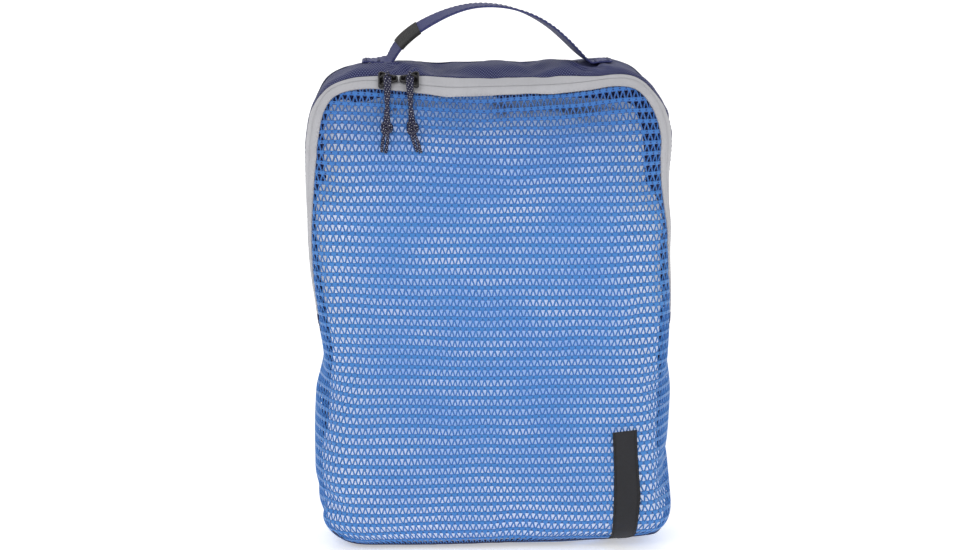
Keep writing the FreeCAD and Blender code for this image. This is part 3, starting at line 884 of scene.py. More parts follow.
def shoot(origins, directions, far):
    """First hit of each ray on the body, else the nearest point; and which rays hit."""
    rays = zip(origins.reshape(-1, 3), np.broadcast_to(directions, origins.shape).reshape(-1, 3))
    points, found = [], []
    for origin, direction in rays:
        origin, direction = Vector(origin), Vector(direction)
        hit = BODY.ray_cast(origin, direction, far)[0]
        found.append(hit is not None)
        points.append(hit if found[-1] else BODY.find_nearest(origin + direction * 30)[0])
    return np.array(points, float).reshape(origins.shape), np.reshape(found, origins.shape[:-1])


# ------------------------------------------------------------------ sheets on the body
class Sheet:
    """Regular grid of points on the body with smooth lookup and a height above it."""

    def __init__(self, along_axis, across_axis, grid, outward, wrap=False):
        """Each axis is (first value, step); wrap closes the sheet along its first axis."""
        self.along_axis, self.across_axis, self.wrap = along_axis, across_axis, wrap
        for _ in range(2):
            if wrap:
                grid = 0.5 * grid + 0.25 * (np.roll(grid, 1, 0) + np.roll(grid, -1, 0))
            else:
                ends = grid
                grid = ends.copy()
                grid[1:-1] = 0.5 * ends[1:-1] + 0.25 * (ends[2:] + ends[:-2])
            rows = grid
            grid = rows.copy()
            grid[:, 1:-1] = 0.5 * rows[:, 1:-1] + 0.25 * (rows[:, 2:] + rows[:, :-2])
        self.points = grid
        if wrap:
            slope = np.roll(grid, -1, 0) - np.roll(grid, 1, 0)
        else:
            slope = np.gradient(grid, axis=0)
        normals = np.cross(slope, np.gradient(grid, axis=1))
        normals /= np.maximum(np.linalg.norm(normals, axis=2)[..., None], 1e-9)
        self.normals = normals * np.sign((normals * outward).sum(2))[..., None]

    def take(self, field, along, across):
        """Bicubic lookup in a grid of vectors."""
        x = (along - self.along_axis[0]) / self.along_axis[1]
        y = (across - self.across_axis[0]) / self.across_axis[1]
        rows, count = field.shape[:2]
        row, col = np.floor(x).astype(int), np.floor(y).astype(int)

        def weights(t):
            return (
                0.5 * (-t + 2 * t * t - t**3),
                0.5 * (2 - 5 * t * t + 3 * t**3),
                0.5 * (t + 4 * t * t - 3 * t**3),
                0.5 * (t**3 - t * t),
            )

        out = 0
        col_weights = weights(y - col)
        for i, row_weight in enumerate(weights(x - row)):
            r = (row + i - 1) % rows if self.wrap else np.clip(row + i - 1, 0, rows - 1)
            for j, col_weight in enumerate(col_weights):
                c = np.clip(col + j - 1, 0, count - 1)
                out = out + field[r, c] * (row_weight * col_weight)[..., None]
        return out

    def at(self, along, across, lift=0.0):
        along, across = np.broadcast_arrays(np.asarray(along, float), np.asarray(across, float))
        point = self.take(self.points, along, across)
        normal = self.take(self.normals, along, across)
        normal = normal / np.maximum(np.linalg.norm(normal, axis=-1)[..., None], 1e-9)
        return point + normal * np.broadcast_to(np.asarray(lift, float), along.shape)[..., None]


def edge_sheet():
    first, step, count = -12.0, 2.2, 62
    station, across = np.meshgrid(
        np.arange(STATIONS), first + step * np.arange(count), indexing="ij")
    inset, y, normal_out, normal_y = profile(across)
    x = OUT[station, 0] - OUT_NORMAL[station, 0] * inset
    z = OUT[station, 1] - OUT_NORMAL[station, 1] * inset
    normals = pack(OUT_NORMAL[station, 0] * normal_out, normal_y,
                   OUT_NORMAL[station, 1] * normal_out)
    points, _ = shoot(sagged(pack(x, y, z)) + 24 * normals, -normals, 60)
    return Sheet((0, STEP), (first, step), points, normals, wrap=True)


EDGE = edge_sheet()
UP_SHOULDER = ROUND_FRONT * math.acos(1 - 8.5 / ROUND_FRONT)  # up at the end of the lower curve
FLAT_HALF = 111  # side at which the front starts to turn round the corner


def front_base(side, up):
    """Ideal point and normal for front sheet coordinates."""
    right = side > 0
    reach = np.abs(side)
    tilt = np.clip((UP_SHOULDER - up) / ROUND_FRONT, 0, math.pi / 2)
    z = np.where(up < UP_SHOULDER, ROUND_FRONT - ROUND_FRONT * np.sin(tilt),
                 up - UP_SHOULDER + ROUND_FRONT)
    held = np.clip(z, 34, 288)
    width = np.where(right, half_width(held, True), half_width(held, False))
    true_width = np.where(right, half_width(z, True), half_width(z, False))
    low = smooth((34 - z) / 10)
    turn = np.clip((reach - FLAT_HALF) / ROUND_FRONT, 0, math.pi / 2)
    x = np.where(reach < FLAT_HALF, reach * (width - ROUND_FRONT) / FLAT_HALF,
                 width - ROUND_FRONT + ROUND_FRONT * np.sin(turn))
    x = x * (1 - low) + x * (true_width / width) * low
    y = CORNER_Y - ROUND_FRONT * np.cos(turn) + np.maximum(reach - FLAT_HALF - ARC_FRONT, 0)
    sign = np.where(right, 1.0, -1.0)
    return pack(sign * x, y, z), pack(sign * np.sin(turn), -np.cos(turn), 0)


def front_sheet():
    side_axis, up_axis = (-200.0, 2.6), (-8.0, 2.6)
    side, up = np.meshgrid(side_axis[0] + side_axis[1] * np.arange(155),
                           up_axis[0] + up_axis[1] * np.arange(140), indexing="ij")
    points, normals = front_base(side, up)
    points = sagged(points)
    hits, found = shoot(points + 26 * normals, -normals, 80)
    # rays that miss keep their x and z and take only the depth
    points[..., 1] = hits[..., 1]
    return Sheet(side_axis, up_axis, np.where(found[..., None], hits, points), normals)


FACE = front_sheet()


def face_coords(x, z):
    """Front sheet coordinates of a point on the front."""
    x, z = np.broadcast_arrays(np.asarray(x, float), np.asarray(z, float))
    tilt = np.arcsin(np.clip((ROUND_FRONT - z) / ROUND_FRONT, 0, 1))
    up = np.where(z < ROUND_FRONT, UP_SHOULDER - ROUND_FRONT * tilt,
                  z - ROUND_FRONT + UP_SHOULDER)
    side = x * 1.0
    for _ in range(12):
        side = side + np.clip((x - front_base(side, up)[0][..., 0]) * 0.9, -30, 30)
    return side, up


# ------------------------------------------------------------------ net
YARN = 0.62  # height of the yarn above the net's plane


def rounded(points, radius):
    """Polygon with each corner replaced by three points."""
    points = [np.array(point, float) for point in points]
    out = []
    for k, corner in enumerate(points):
        before, after = points[k - 1], points[(k + 1) % len(points)]
        start = corner + (before - corner) / np.linalg.norm(before - corner) * radius
        end = corner + (after - corner) / np.linalg.norm(after - corner) * radius
        for t in np.linspace(0, 1, 3):
            out.append((1 - t) ** 2 * start + 2 * t * (1 - t) * corner + t * t * end)
    return np.array(out)


def polygon_distance(points, polygons):
    """Distance of each point from the nearest polygon side."""
    best = np.full(len(points), 9.0)
    for start in polygons:
        side = np.roll(start, -1, 0) - start
        t = ((points[:, None] - start) * side).sum(-1) / (side**2).sum(-1)
        near = start + side * np.clip(t, 0, 1)[..., None]
        best = np.minimum(best, np.linalg.norm(points[:, None] - near, axis=-1).min(1))
    return best


def inside(points, polygon):
    x, y = points[:, 0][:, None], points[:, 1][:, None]
    start, end = polygon, np.roll(polygon, -1, 0)
    spans = (start[:, 1] > y) != (end[:, 1] > y)
    rise = np.where(end[:, 1] == start[:, 1], 1e9, end[:, 1] - start[:, 1])
    crossing = start[:, 0] + (y - start[:, 1]) * (end[:, 0] - start[:, 0]) / rise
    return (spans & (x < crossing)).sum(1) % 2 == 1


def clipped(polygon, half, height):
    """Part of a polygon inside the tile, cut exactly on the tile's sides."""
    polygon = [tuple(point) for point in polygon]
    cuts = ((0, -half, False), (0, half, True), (1, 0, False), (1, height, True))
    for axis, limit, keep_low in cuts:

        def kept(point):
            return point[axis] <= limit + 1e-9 if keep_low else point[axis] >= limit - 1e-9

        result = []
        for k, end in enumerate(polygon):
            start = polygon[k - 1]
            if kept(start) != kept(end):
                t = (limit - start[axis]) / (end[axis] - start[axis])
                result.append(tuple(start[i] + (end[i] - start[i]) * t for i in (0, 1)))
            if kept(end):
                result.append(end)
        polygon = result
    return polygon


def signed_area(verts, tris):
    return np.cross(verts[tris[:, 1]] - verts[tris[:, 0]], verts[tris[:, 2]] - verts[tris[:, 0]])


def net_tile():
    """One pitch by one row of the net: solid yarn round triangular holes.

    Returns vertices, heights and triangles of the top, then of the underside."""
    pitch, row = NET_PITCH, NET_ROW
    half = pitch / 2
    down = rounded([(-1.46, row - 1.42), (0, 1.35), (1.46, row - 1.42)], 0.42)
    up = rounded([(-1.06, 1.38), (1.06, 1.38), (0, row - 2.65)], 0.38)
    holes = [down, up + (half, 0), up - (half, 0)]
    # the same holes over a patch wider than the tile, for distances
    wide = []
    for i in (-1, 0, 1):
        for rise, shift in ((0, 0), (-row, half), (row, half)):
            wide += [down + (i * pitch + shift, rise), up + (i * pitch + half - shift, rise)]

    points, edges = [], []

    def add_loop(loop):
        base = len(points)
        points.extend(loop)
        edges.extend((base + i, base + (i + 1) % len(loop)) for i in range(len(loop)))

    for hole in holes:
        add_loop(clipped(hole, half, row))
    add_loop([(-half, 0), (half, 0), (half, row), (-half, row)])
    # even points on the solid stretches of the tile's sides, equal on facing sides
    points += [(x, y) for x in (-half, half) for y in (0.6, row - 1.9, row - 1.25, row - 0.6)]
    for x in (0.6, 1.2, 1.8):
        points += [(x, row), (-x, row), (x, 0), (-x, 0)]
    points += [(0, 0), (0, row), (0, 0.6), (0, row - 0.6)]
    grid = np.array([
        (x, y)
        for j, y in enumerate(np.arange(0.45, row, 0.62))
        for x in np.arange(-half + 0.3 + 0.3 * (j % 2), half - 0.2, 0.62)
    ])
    grid = grid[polygon_distance(grid, wide) > 0.3]
    x, y = grid.T
    border = np.minimum(np.minimum(x + half, half - x), np.minimum(y, row - y))
    grid = grid[border > 0.25]

    def solve(points):
        """Triangulates the yarn, all triangles facing up."""
        flat = [Vector(point) for point in points]
        verts, _, faces = delaunay_2d_cdt(flat, edges, [], 0, 1e-5)[:3]
        verts = np.array([tuple(vert) for vert in verts])
        tris = np.array([tuple(face) for face in faces if len(face) == 3])
        solid = np.abs(signed_area(verts, tris)) > 1e-6
        for hole in holes:
            solid &= ~inside(verts[tris].mean(1), hole)
        tris = tris[solid]
        turned = signed_area(verts, tris) < 0
        tris[turned] = tris[turned][:, ::-1]
        return verts, tris

    top, top_tris = solve(points + [tuple(point) for point in grid])
    under, under_tris = solve(points)
    rounding = np.clip(polygon_distance(top, wide) / 0.62, 0, 1)
    top_lift = YARN * np.sqrt(1 - (1 - rounding) ** 2)
    under_lift = np.where(polygon_distance(under, wide) > 0.03, -0.16, 0.0)
    return top, top_lift, top_tris, under, under_lift, under_tris[:, ::-1]


TILE = net_tile()


def net_piece(name, cells, flap):
    """Net made of tiles at the given (row, column) cells, trimmed at the zip or the fold."""
    top, top_lift, top_tris, under, under_lift, under_tris = TILE
    tile = np.concatenate([top, under])
    layer = np.concatenate([np.ones(len(top)), np.where(under_lift < 0, 2, 1)])
    cell_side = (cells[:, 1] + 0.5 * (cells[:, 0] % 2)) * NET_PITCH
    cell_up = cells[:, 0] * NET_ROW
    side = (cell_side[:, None] + tile[None, :, 0]).ravel()
    up = (cell_up[:, None] + tile[None, :, 1]).ravel()
    lift = np.tile(np.concatenate([top_lift, under_lift]), len(cells))
    layer = np.tile(layer, len(cells)).astype(np.int64)
    base = (np.arange(len(cells)) * len(tile))[:, None, None]
    tris = np.concatenate([(base + top_tris[None]).reshape(-1, 3),
                           (base + (under_tris + len(top))[None]).reshape(-1, 3)])
    # weld points that fall on the same spot of the same layer
    key = (
        np.round((side + 300) * 500).astype(np.int64) * 4_000_000
        + np.round((up + 20) * 500).astype(np.int64) * 4
        + layer
    )
    _, first, inverse = np.unique(key, return_index=True, return_inverse=True)
    side, up, lift = side[first], up[first], lift[first]
    tris = inverse[tris]
    one, two, three = tris.T
    tris = tris[(one != two) & (two != three) & (one != three)]
    # the yarn lines wander a little
    at_side = side + 0.7 * noise2(side / 42, up / 42, 1) + 0.35 * noise2(side / 13, up / 13, 2)
    at_up = up + 1.5 * noise2(side / 85, up / 60, 3) + 0.55 * noise2(side / 24, up / 30, 4)
    _, y, z = FACE.at(at_side, at_up).T
    edge = FRONT + lean(z, *TAPE_FRONT_EDGE)
    if flap:
        over = (y - edge) * (z > Z_FOLD - 12)
        tuck = 1.15 * smooth((over + 0.6) / 1.6) + 0.5 * smooth((over - 1.5) / 3)
        kept = y < FRONT + lean(z, *NET_END)
    else:
        fold = Z_FOLD + FOLD_SLOPE * (y - FRONT)
        tuck = 1.2 * smooth((z - fold + 1.5) / 2.5) * (y > edge - 1)
        kept = z < fold + 6
    verts = FACE.at(at_side, at_up, lift + 0.25 - tuck)
    ob = make(name, verts, [tris[kept[tris].all(1)]], NET, pack(side, up))
    # the relief map's second value fades in the painted shade at the top of the net
    add_uv(ob.data, "relief", pack(np.clip(lift / YARN, 0, 1), smooth((z - 225) / 110)))
    return ob


def net_cells():
    """Rows, columns and sides of all cells, with masks for the flap and the lower net."""
    rows, columns = np.meshgrid(np.arange(0, 49), np.arange(-43, 44), indexing="ij")
    side = (columns + 0.5 * (rows % 2)) * NET_PITCH
    up = (rows + 0.5) * NET_ROW
    points = FACE.at(side, up)
    y, z = points[..., 1], points[..., 2]
    base, _ = front_base(side, up)
    inset = inset_of(base[..., 0], base[..., 2]).reshape(side.shape)
    edge = FRONT + lean(z, *TAPE_FRONT_EDGE)
    fold = Z_FOLD + FOLD_SLOPE * (y - FRONT)
    split = 162
    on_flap = (z >= split) & (y < edge + 9.0) & (inset > -3.5)
    below = (z < split) | (z < fold + 6) & (y >= edge)
    below &= (y < 32) & ~on_flap & (np.abs(side) < 194)
    return rows, columns, side, on_flap, below


def build_net():
    rows, columns, side, on_flap, below = net_cells()
    for part, mask, blend in (("flap", on_flap, "flap"), ("lower", below, None)):
        for hand, half in (("left", side <= 0), ("right", side > 0)):
            picked = mask & half
            cells = pack(rows[picked], columns[picked])
            ob = net_piece(f"net_{part}_{hand}", cells, part == "flap")
            replaced = [f"net_front_{part}"] if hand == "left" else []
            tell(ob, *replaced, slot="net_blue", blend=blend)


build_net()

# ------------------------------------------------------------------ zip tape, coil, stitches
ZIP_RIGHT, ZIP_LEFT = (along_at_height(Z_FOLD + 3.0, right) for right in (True, False))
COIL_PITCH = 1.27


def tape(name, first_edge, second_edge, count, side):
    """Half of the zip tape between two edge lines; side is -1 in front of the closing line."""
    along = np.linspace(ZIP_RIGHT, ZIP_LEFT, int(abs(ZIP_LEFT - ZIP_RIGHT) / 0.42) + 1)
    t = np.linspace(0, 1, count)
    across = first_edge(along)[:, None] * (1 - t) + second_edge(along)[:, None] * t
    off = (across - line_across(along, CLOSING)[:, None]) * side
    along = np.repeat(along[:, None], count, 1)
    # coil pressed through the tape: fine ribs beside the closing line
    near = smooth(off / 0.6) * smooth((3.1 - off) / 1.0)
    ribs = 0.12 * near * np.cos(along * 2 * math.pi / COIL_PITCH) + 0.24 * near
    soft = 0.18 * noise2(along / 19, across / 9, 5) + 0.10 * noise2(along / 6.5, across / 7, 6)
    lift = 0.75 + ribs + soft - 0.32 * (1 - smooth(off / 0.35))
    return slab(name, EDGE, along, across, lift, 0.7, TAPE)


def on_line(line):
    return lambda along: line_across(along, line)


def coil(name, side):
    """Spiral of monofilament along one tape edge, on the inside."""
    per_turn = 10
    count = int((ZIP_LEFT - ZIP_RIGHT) / COIL_PITCH) * per_turn
    along = np.linspace(ZIP_RIGHT + 2, ZIP_LEFT - 2, count)
    phase = np.arange(count) / per_turn * 2 * math.pi
    across = line_across(along, CLOSING) + side * (1.15 + 1.05 * np.cos(phase))
    points = EDGE.at(along, across, -0.55 + 0.55 * np.sin(phase))
    return make_parts(name, [tube(points, 0.33, 5)], COIL)


def stitches(name, along, across, mat, lift):
    """Row of single stitches along a path on the edge sheet."""
    length, gap, radius = 2.3, 1.1, 0.2
    run = path_run(EDGE.at(along, across))
    parts = []
    start = 0.6
    while start + length < run[-1]:
        at = start + length * np.array([0, 0.15, 0.5, 0.85, 1.0])
        arch = lift + radius * np.array([-1.4, 0.1, 0.55, 0.1, -1.4])
        points = EDGE.at(np.interp(at, run, along), np.interp(at, run, across), arch)
        parts.append(tube(points, radius, 6))
        start += length + gap
    return make_parts(name, parts, mat)


tell(tape("zip_tape_front", on_line(TAPE_FRONT_EDGE), on_line(TAPE_FRONT_INNER), 15, -1),
     "zip_tape_flap", slot="tape_grey", blend="flap")
tell(tape("zip_tape_back", on_line(TAPE_BACK_INNER), back_line, 17, 1),
     "zip_tape_body", slot="tape_grey")
tell(coil("zip_coil_front", -1), "zip_coil_flap", slot="coil_grey", blend="flap")
tell(coil("zip_coil_back", 1), "zip_coil_body", slot="coil_grey")

seam_run = np.linspace(ZIP_RIGHT + 1, ZIP_LEFT - 1, 900)
front_seam = line_across(seam_run, TAPE_FRONT_EDGE) + 1.1
tell(stitches("stitch_tape_front", seam_run, front_seam, THREAD, 0.75), blend="flap")
tell(stitches("stitch_tape_back", seam_run, back_line(seam_run) + 1.3, THREAD_NAVY, 0.4))

# ------------------------------------------------------------------ navy gusset, back, base
BACK_SEAM = float(across_of_depth(69.0))


def gusset_relief(along, across):
    x, z = outline_at(along)
    top = smooth((z - 325) / 15)
    lift = 0.5 * noise2(along / 34, across / 26, 7)
    # soft dips and a rise under the handle: height, x, width
    behind_zip = top * smooth((across - 26) / 26)
    for height, centre, width in ((-2.3, -36, 11), (-1.9, 28, 10), (0.9, -8, 17)):
        lift += height * behind_zip * bell((x - centre) / width)
    # short folds that run in from the zip seam
    pull = smooth((across - 20) / 3) * smooth((44 - across) / 20)
    uneven = 0.5 + 0.5 * smooth(noise2(along / 40, 0, 9) + 0.4)
    lift += pull * 0.75 * noise2(along / 7.5, across / 22, 8) * uneven
    # deeper slanting folds beside the sewn handle ends: x, slant
    zone = top * smooth((across - 27) / 6) * smooth((58 - across) / 14)
    for centre, tilt in ((-66, 0.35), (-52, 0.55), (62, -0.5), (74, -0.3)):
        line = x - centre - tilt * (across - 45)
        lift += zone * (0.9 * bell((line - 5) / 3.2) - 1.5 * bell(line / 2.6))
    # flat under each sewn end, with a crease and a ridge in front of it
    for centre in (-79.0, 79.0):
        off = np.abs(x - centre)
        under = smooth((17.0 - off) / 4) * top
        lift *= 1 - under * smooth((across - 49) / 3) * smooth((76 - across) / 4)
        lift -= 2.8 * bell((across - 46.2 - 0.10 * off) / 1.6) * bell(off / 11.5) * top
        lift += 1.3 * bell((across - 41.5) / 3.0) * bell(off / 12.0) * top
    back = smooth((across - 66) / 14)
    return lift * (1 - back) + back * 0.25 * noise2(along / 9, across / 20, 10)


def build_gusset():
    t = np.linspace(0, 1, 620)[:, None]
    width = np.linspace(0, 1, 34)[None, :]
    along = ZIP_RIGHT + (ZIP_LEFT - ZIP_RIGHT) * t
    across = (back_line(along) - 0.3) * (1 - width) + (BACK_SEAM + 0.6) * width
    to_end = np.minimum(t, 1 - t)
    # the lower ends follow the fold plane
    follow = FOLD_SLOPE * np.maximum(across - ARC_FRONT, 0)
    along = along + follow * np.where(t < 0.5, 1, -1) * np.clip(1 - 8 * to_end, 0, 1)
    lift = 0.15 + gusset_relief(along, across) * smooth(to_end * 60)
    tell(slab("gusset", EDGE, along, across, lift, 0.9, NAVY),
         "top_side_gusset", slot="navy_cloth")
    for hand, end, shift in (("right", 0, 3), ("left", -1, -3)):
        tell(stitches("stitch_cross_" + hand, along[end, 2:-2] + shift, across[end, 2:-2],
                      THREAD_NAVY, 0.25))


def end_tab(hand, sign):
    """Small patch over the lower end of the zip."""
    width, length = np.meshgrid(np.linspace(-1, 1, 10), np.linspace(0, 1, 16), indexing="ij")
    start = across_of_depth(19.0)
    reach = across_of_depth(35.0) - start
    middle = along_at_height(Z_FOLD - 1.5, sign > 0)
    along = middle + 5.0 * width + sign * FOLD_SLOPE * reach * length
    lift = 1.25 - 0.45 * width**4 - 0.4 * (2 * length - 1) ** 6
    ob = slab("zip_end_patch_" + hand, EDGE, along, start + reach * length, lift, 1.1, NAVY)
    tell(ob, "zip_end_tab_" + hand, slot="navy_cloth")


def edge_binding(name, node, along, centre, half_wide, height, drop, sink, thick,
                 fuzz, grain, seed, closed=False):
    """Folded ribbon with a rounded section; drop rounds its edges, fuzz roughens it."""
    width = np.linspace(-1, 1, 9)[None, :]
    along = np.repeat(along[:, None], 9, 1)
    across = centre + half_wide * width + 0 * along
    lift = height * np.sqrt(np.clip(1 - drop * width**4, 0, 1)) - sink
    lift = lift + fuzz * noise2(along / grain, across, seed)
    ob = slab(name, EDGE, along, across, lift, thick, BINDING, closed=closed)
    tell(ob, node, slot="navy_binding")


def build_back():
    """Back panel, carried round the tight back edge and closed towards its middle."""
    edge_rows, face_rows = 16, 33
    edge_across = np.linspace(BACK_SEAM + 3.5, WALL_END + ARC_BACK + 12, edge_rows)
    rows = [EDGE.at(ALONG, across, 0.1) for across in edge_across]
    rim = rows[-1]
    middle_z, shrink = 172, 0.004
    core = pack(rim[:, 0] * shrink, 60.0, middle_z + (rim[:, 2] - middle_z) * shrink)
    for k in np.linspace(0, 1, face_rows + 1)[1:]:
        origins = rim * (1 - k) + core * k
        origins[:, 1] = 70
        points, _ = shoot(origins, [0, -1.0, 0], 60)
        points[:, 1] += 0.1
        rows.append(points)
    grid = np.stack(rows)
    count = len(rows)
    for _ in range(3):
        grid[17:-1] = 0.5 * grid[17:-1] + 0.25 * (grid[16:-2] + grid[18:])
    x, z = grid[..., 0], grid[..., 2]
    wrinkles = 0.55 * noise2(x / 42, z / 55, 14) + 0.2 * noise2(x / 15, z / 20, 15)
    fade = smooth((np.arange(count) - 15) / 8)[:, None]
    grid[16:, :, 1] += (wrinkles * fade)[16:]
    outer = grid.reshape(-1, 3)
    inner = outer.copy()
    inner[:, 1] -= 0.9
    near_rim = np.repeat(smooth((16 - np.arange(count)) / 8.0), STATIONS)
    inner[:, 0] -= np.sign(outer[:, 0]) * 0.6 * near_rim
    quads = loft_faces(count, STATIONS)
    cap = np.arange((count - 1) * STATIONS, count * STATIONS)[None, :]
    total = len(outer)
    faces = [quads, quads[:, ::-1] + total, cap, cap[:, ::-1] + total]
    uv = outer[:, [0, 2]]
    ob = make("back_cloth", np.concatenate([outer, inner]), faces, NAVY,
              np.concatenate([uv, uv]))
    tell(ob, "back_panel", slot="navy_cloth")


def base_run(z, count):
    """Arc lengths under the base, from height z on the left to z on the right."""
    return np.linspace(along_at_height(z, False) - PERIMETER, along_at_height(z, True), count)


def build_base():
    depth_axis = np.linspace(float(across_of_depth(11.0)), BACK_SEAM + 0.5, 30)
    along, across = np.meshgrid(base_run(6.5, 170), depth_axis, indexing="ij")
    tell(slab("base_cloth", EDGE, along, across, 0.1, 0.9, NAVY),
         "base_panel", slot="navy_cloth")


build_gusset()
end_tab("right", 1)
end_tab("left", -1)
edge_binding("back_edge_binding", "back_binding", np.arange(STATIONS * 2) * STEP / 2,
             centre=BACK_SEAM + 2.2, half_wide=2.5, height=1.25, drop=0.8, sink=0.2,
             thick=1.5, fuzz=0.12, grain=5, seed=12, closed=True)
build_back()
build_base()
edge_binding("base_edge_binding", "base_binding", base_run(12, 420),
             centre=float(across_of_depth(9.6)), half_wide=2.1, height=1.0, drop=0.85,
             sink=0.1, thick=1.2, fuzz=0.15, grain=6, seed=13)


# ------------------------------------------------------------------ packed cloth
def fill_insets():
    """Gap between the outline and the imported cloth, wider towards the top."""
    x, z = OUT.T
    upper = smooth((z - 232) / 36)
    insets = 5.0 + upper * np.where(x > 0, 16.5, 12.0)
    insets = insets + smooth((z - 322) / 14) * 9.0
    insets = insets + 2.2 * noise2(ALONG / 30, 0, 20) * upper
    insets[z < 30] = 2.0
    return ring_smooth(insets, 8)


def keep_inside(points):
    """Holds the cloth under the body and fills the turn at the bottom front edge."""
    clearance, edge_clearance = 1.7, 1.9
    for k, point in enumerate(points):
        near, normal, _, _ = BODY.find_nearest(Vector(point))
        gap = (Vector(point) - near).dot(normal)
        if gap > -clearance:
            points[k] = near - normal * clearance
        elif point[2] < 24 and point[1] < -10 and gap < -edge_clearance:
            t = float(smooth((24 - point[2]) / 9) * smooth((-10 - point[1]) / 8))
            points[k] = point * (1 - t) + np.array(near - normal * edge_clearance) * t


def build_fill():
    fill = form_mesh("packed_cloth", fill_insets())
    remesh(fill, 5.0)
    points = coords(fill)
    points[:, 1] *= 0.90
    inset = inset_of(points[:, 0], points[:, 2])
    points[:, 1] -= (front_bulge(inset) + 1.9) * smooth((-12 - points[:, 1]) / 14)
    set_coords(fill, points)
    relax_cloth(fill, np.abs(points[:, 1]) < 3, pressure=3.0, shrink=-0.09, cap=5.5,
                bend=0.25, stiff=9.0)
    subdivide(fill)
    points = coords(fill)
    x, y, z = points.T
    broad = np.abs(noise2(x / 38 + 0.3 * noise2(z / 40, 0, 31), z / 27, 21))
    fine = np.abs(noise2(x / 17, z / 15, 22))
    folds = 4.2 * (broad - 0.12) + 1.5 * (fine - 0.15)
    points[:, 1] += smooth((-14 - y) / 12) * folds
    points[:, 1] = np.maximum(points[:, 1], FRONT - front_bulge(inset_of(x, z)) + 1.1)
    keep_inside(points)
    set_coords(fill, points)
    mesh = fill.data
    add_uv(mesh, "weave", points[:, [0, 2]])
    mesh.polygons.foreach_set("use_smooth", np.ones(len(mesh.polygons), bool))
    mesh.materials.clear()
    mesh.materials.append(FILL)
    tell(fill)


build_fill()


# ------------------------------------------------------------------ side label
def build_label():
    """Upright woven label at the lower right of the front, sewn in at the base."""
    rows, count, half_wide = 70, 15, 8.5
    height = np.linspace(2.2, 90.5, rows)[:, None]
    centre = np.interp(height, [0, 14, 40, 60, 87], [94.6, 95.6, 96.6, 96.0, 94.4])
    half = half_wide + 0.8 * bell((height - 40) / 18)
    slope = np.interp(height, [0, 74, 87], [0.0, 0.02, 0.10])

    def place(width):
        """Front sheet coordinates and lift at positions -1 to 1 over the width."""
        x = centre + half * width
        z = height + slope * half * width
        lift = 1.35 + 0.9 * smooth((height - 60) / 22)
        lift = lift + 1.5 * bell((height - 40) / 17) * (0.5 + 0.5 * width) ** 2
        lift = lift + 0.25 * noise2(x / 9, z / 13, 25)
        return *face_coords(x, z), lift * (1 - 0.35 * smooth((9.5 - height) / 4))

    width = np.linspace(-1, 1, count)[None, :]
    uv = pack(width * half_wide, height).reshape(-1, 2)
    label = slab("side_tag", FACE, *place(width), 0.55, LABEL, uv=uv)
    tell(label, "side_label", "side_label_root", slot="black_tag", blend="label")
    # woven edge lines
    for suffix, edge in (("a", -0.82), ("b", 0.82)):
        side, up, lift = (part[:, 0] for part in place(edge))
        line = tube(FACE.at(side, up, lift + 0.02), 0.22, 6)
        tell(make_parts("side_tag_edge_" + suffix, [line], TAG), blend="label")


build_label()

# ------------------------------------------------------------------ handle webbing
HANDLE_Y = 12.0
STRAP_HALF = 10.0
# Middle line of the strap from left to right: x, z, twist (positive turns the outer face
# towards the front)
STRAP = [
    (-90.2, 346.3, 0), (-86.6, 347.0, 0), (-81.6, 347.5, 0.02), (-76.0, 348.3, 0.10),
    (-71, 350.9, 0.22), (-66.6, 355.8, 0.28), (-61.6, 362.2, 0.30), (-53.0, 369.4, 0.28),
    (-42.4, 375.8, 0.24), (-29.6, 381.7, 0.16), (-16.4, 385.7, 0.08), (-3.8, 387.0, 0.02),
    (9.8, 386.0, -0.04), (22.8, 382.6, -0.10), (34.6, 377.2, -0.16), (45.2, 370.1, -0.19),
    (54.4, 361.9, -0.2), (61.6, 354.8, -0.18), (66.8, 350.0, -0.12), (72.0, 348.0, -0.05),
    (78, 347.4, 0), (86.6, 346.6, 0),
]


def cloth_top(x):
    """Highest cloth under the strap at x."""
    hits = [BODY.ray_cast(Vector((x, y, 420)), Vector((0, 0, -1)), 200)[0]
            for y in (3, 7, 12, 17)]
    return max([0] + [hit.z for hit in hits if hit])


def settled(x, z, twist):
    """Strap point with its sewn ends laid on the cloth."""
    if abs(x) > 69:
        z = cloth_top(x) + 0.95
    elif abs(x) > 64.5:
        z = max(z, cloth_top(x) + 1.6)
    return x, z, twist


def strap_frames(count):
    """Centre line of the strap with its width and face directions."""
    path = spline([settled(*point) for point in STRAP], count)
    centre = pack(path[:, 0], HANDLE_Y, path[:, 1])
    tangent = unit(np.gradient(centre, axis=0))
    across = np.tile([0, 1.0, 0], (count, 1))
    outward = np.cross(tangent, across)
    twist = path[:, 2][:, None]
    across = across * np.cos(twist) + outward * np.sin(twist)
    return centre, across, np.cross(tangent, across)


def ribbon(name, frames, half_wide, half_thick, mat):
    centre, across, normal = frames
    rows = len(centre)
    width = np.linspace(-1, 1, 14)
    face = 1.0 - 0.35 * np.abs(width) ** 8
    section = np.concatenate([pack(width, face), pack(width[::-1], -face[::-1])])
    count = len(section)
    verts = (
        centre[:, None]
        + across[:, None] * (section[:, 0] * half_wide)[None, :, None]
        + normal[:, None] * (section[:, 1] * half_thick)[None, :, None]
    ).reshape(-1, 3)
    uv = pack(np.repeat(path_run(centre), count), np.tile(section[:, 0] * 10, rows))
    ends = [verts[:count].mean(0), verts[-count:].mean(0)]
    caps = fan_caps(rows, count)[:, [0, 2, 1]]
    return make(name, np.concatenate([verts, ends]), [loft_faces(rows, count), caps], mat,
                np.concatenate([uv, uv[:1], uv[-1:]]))


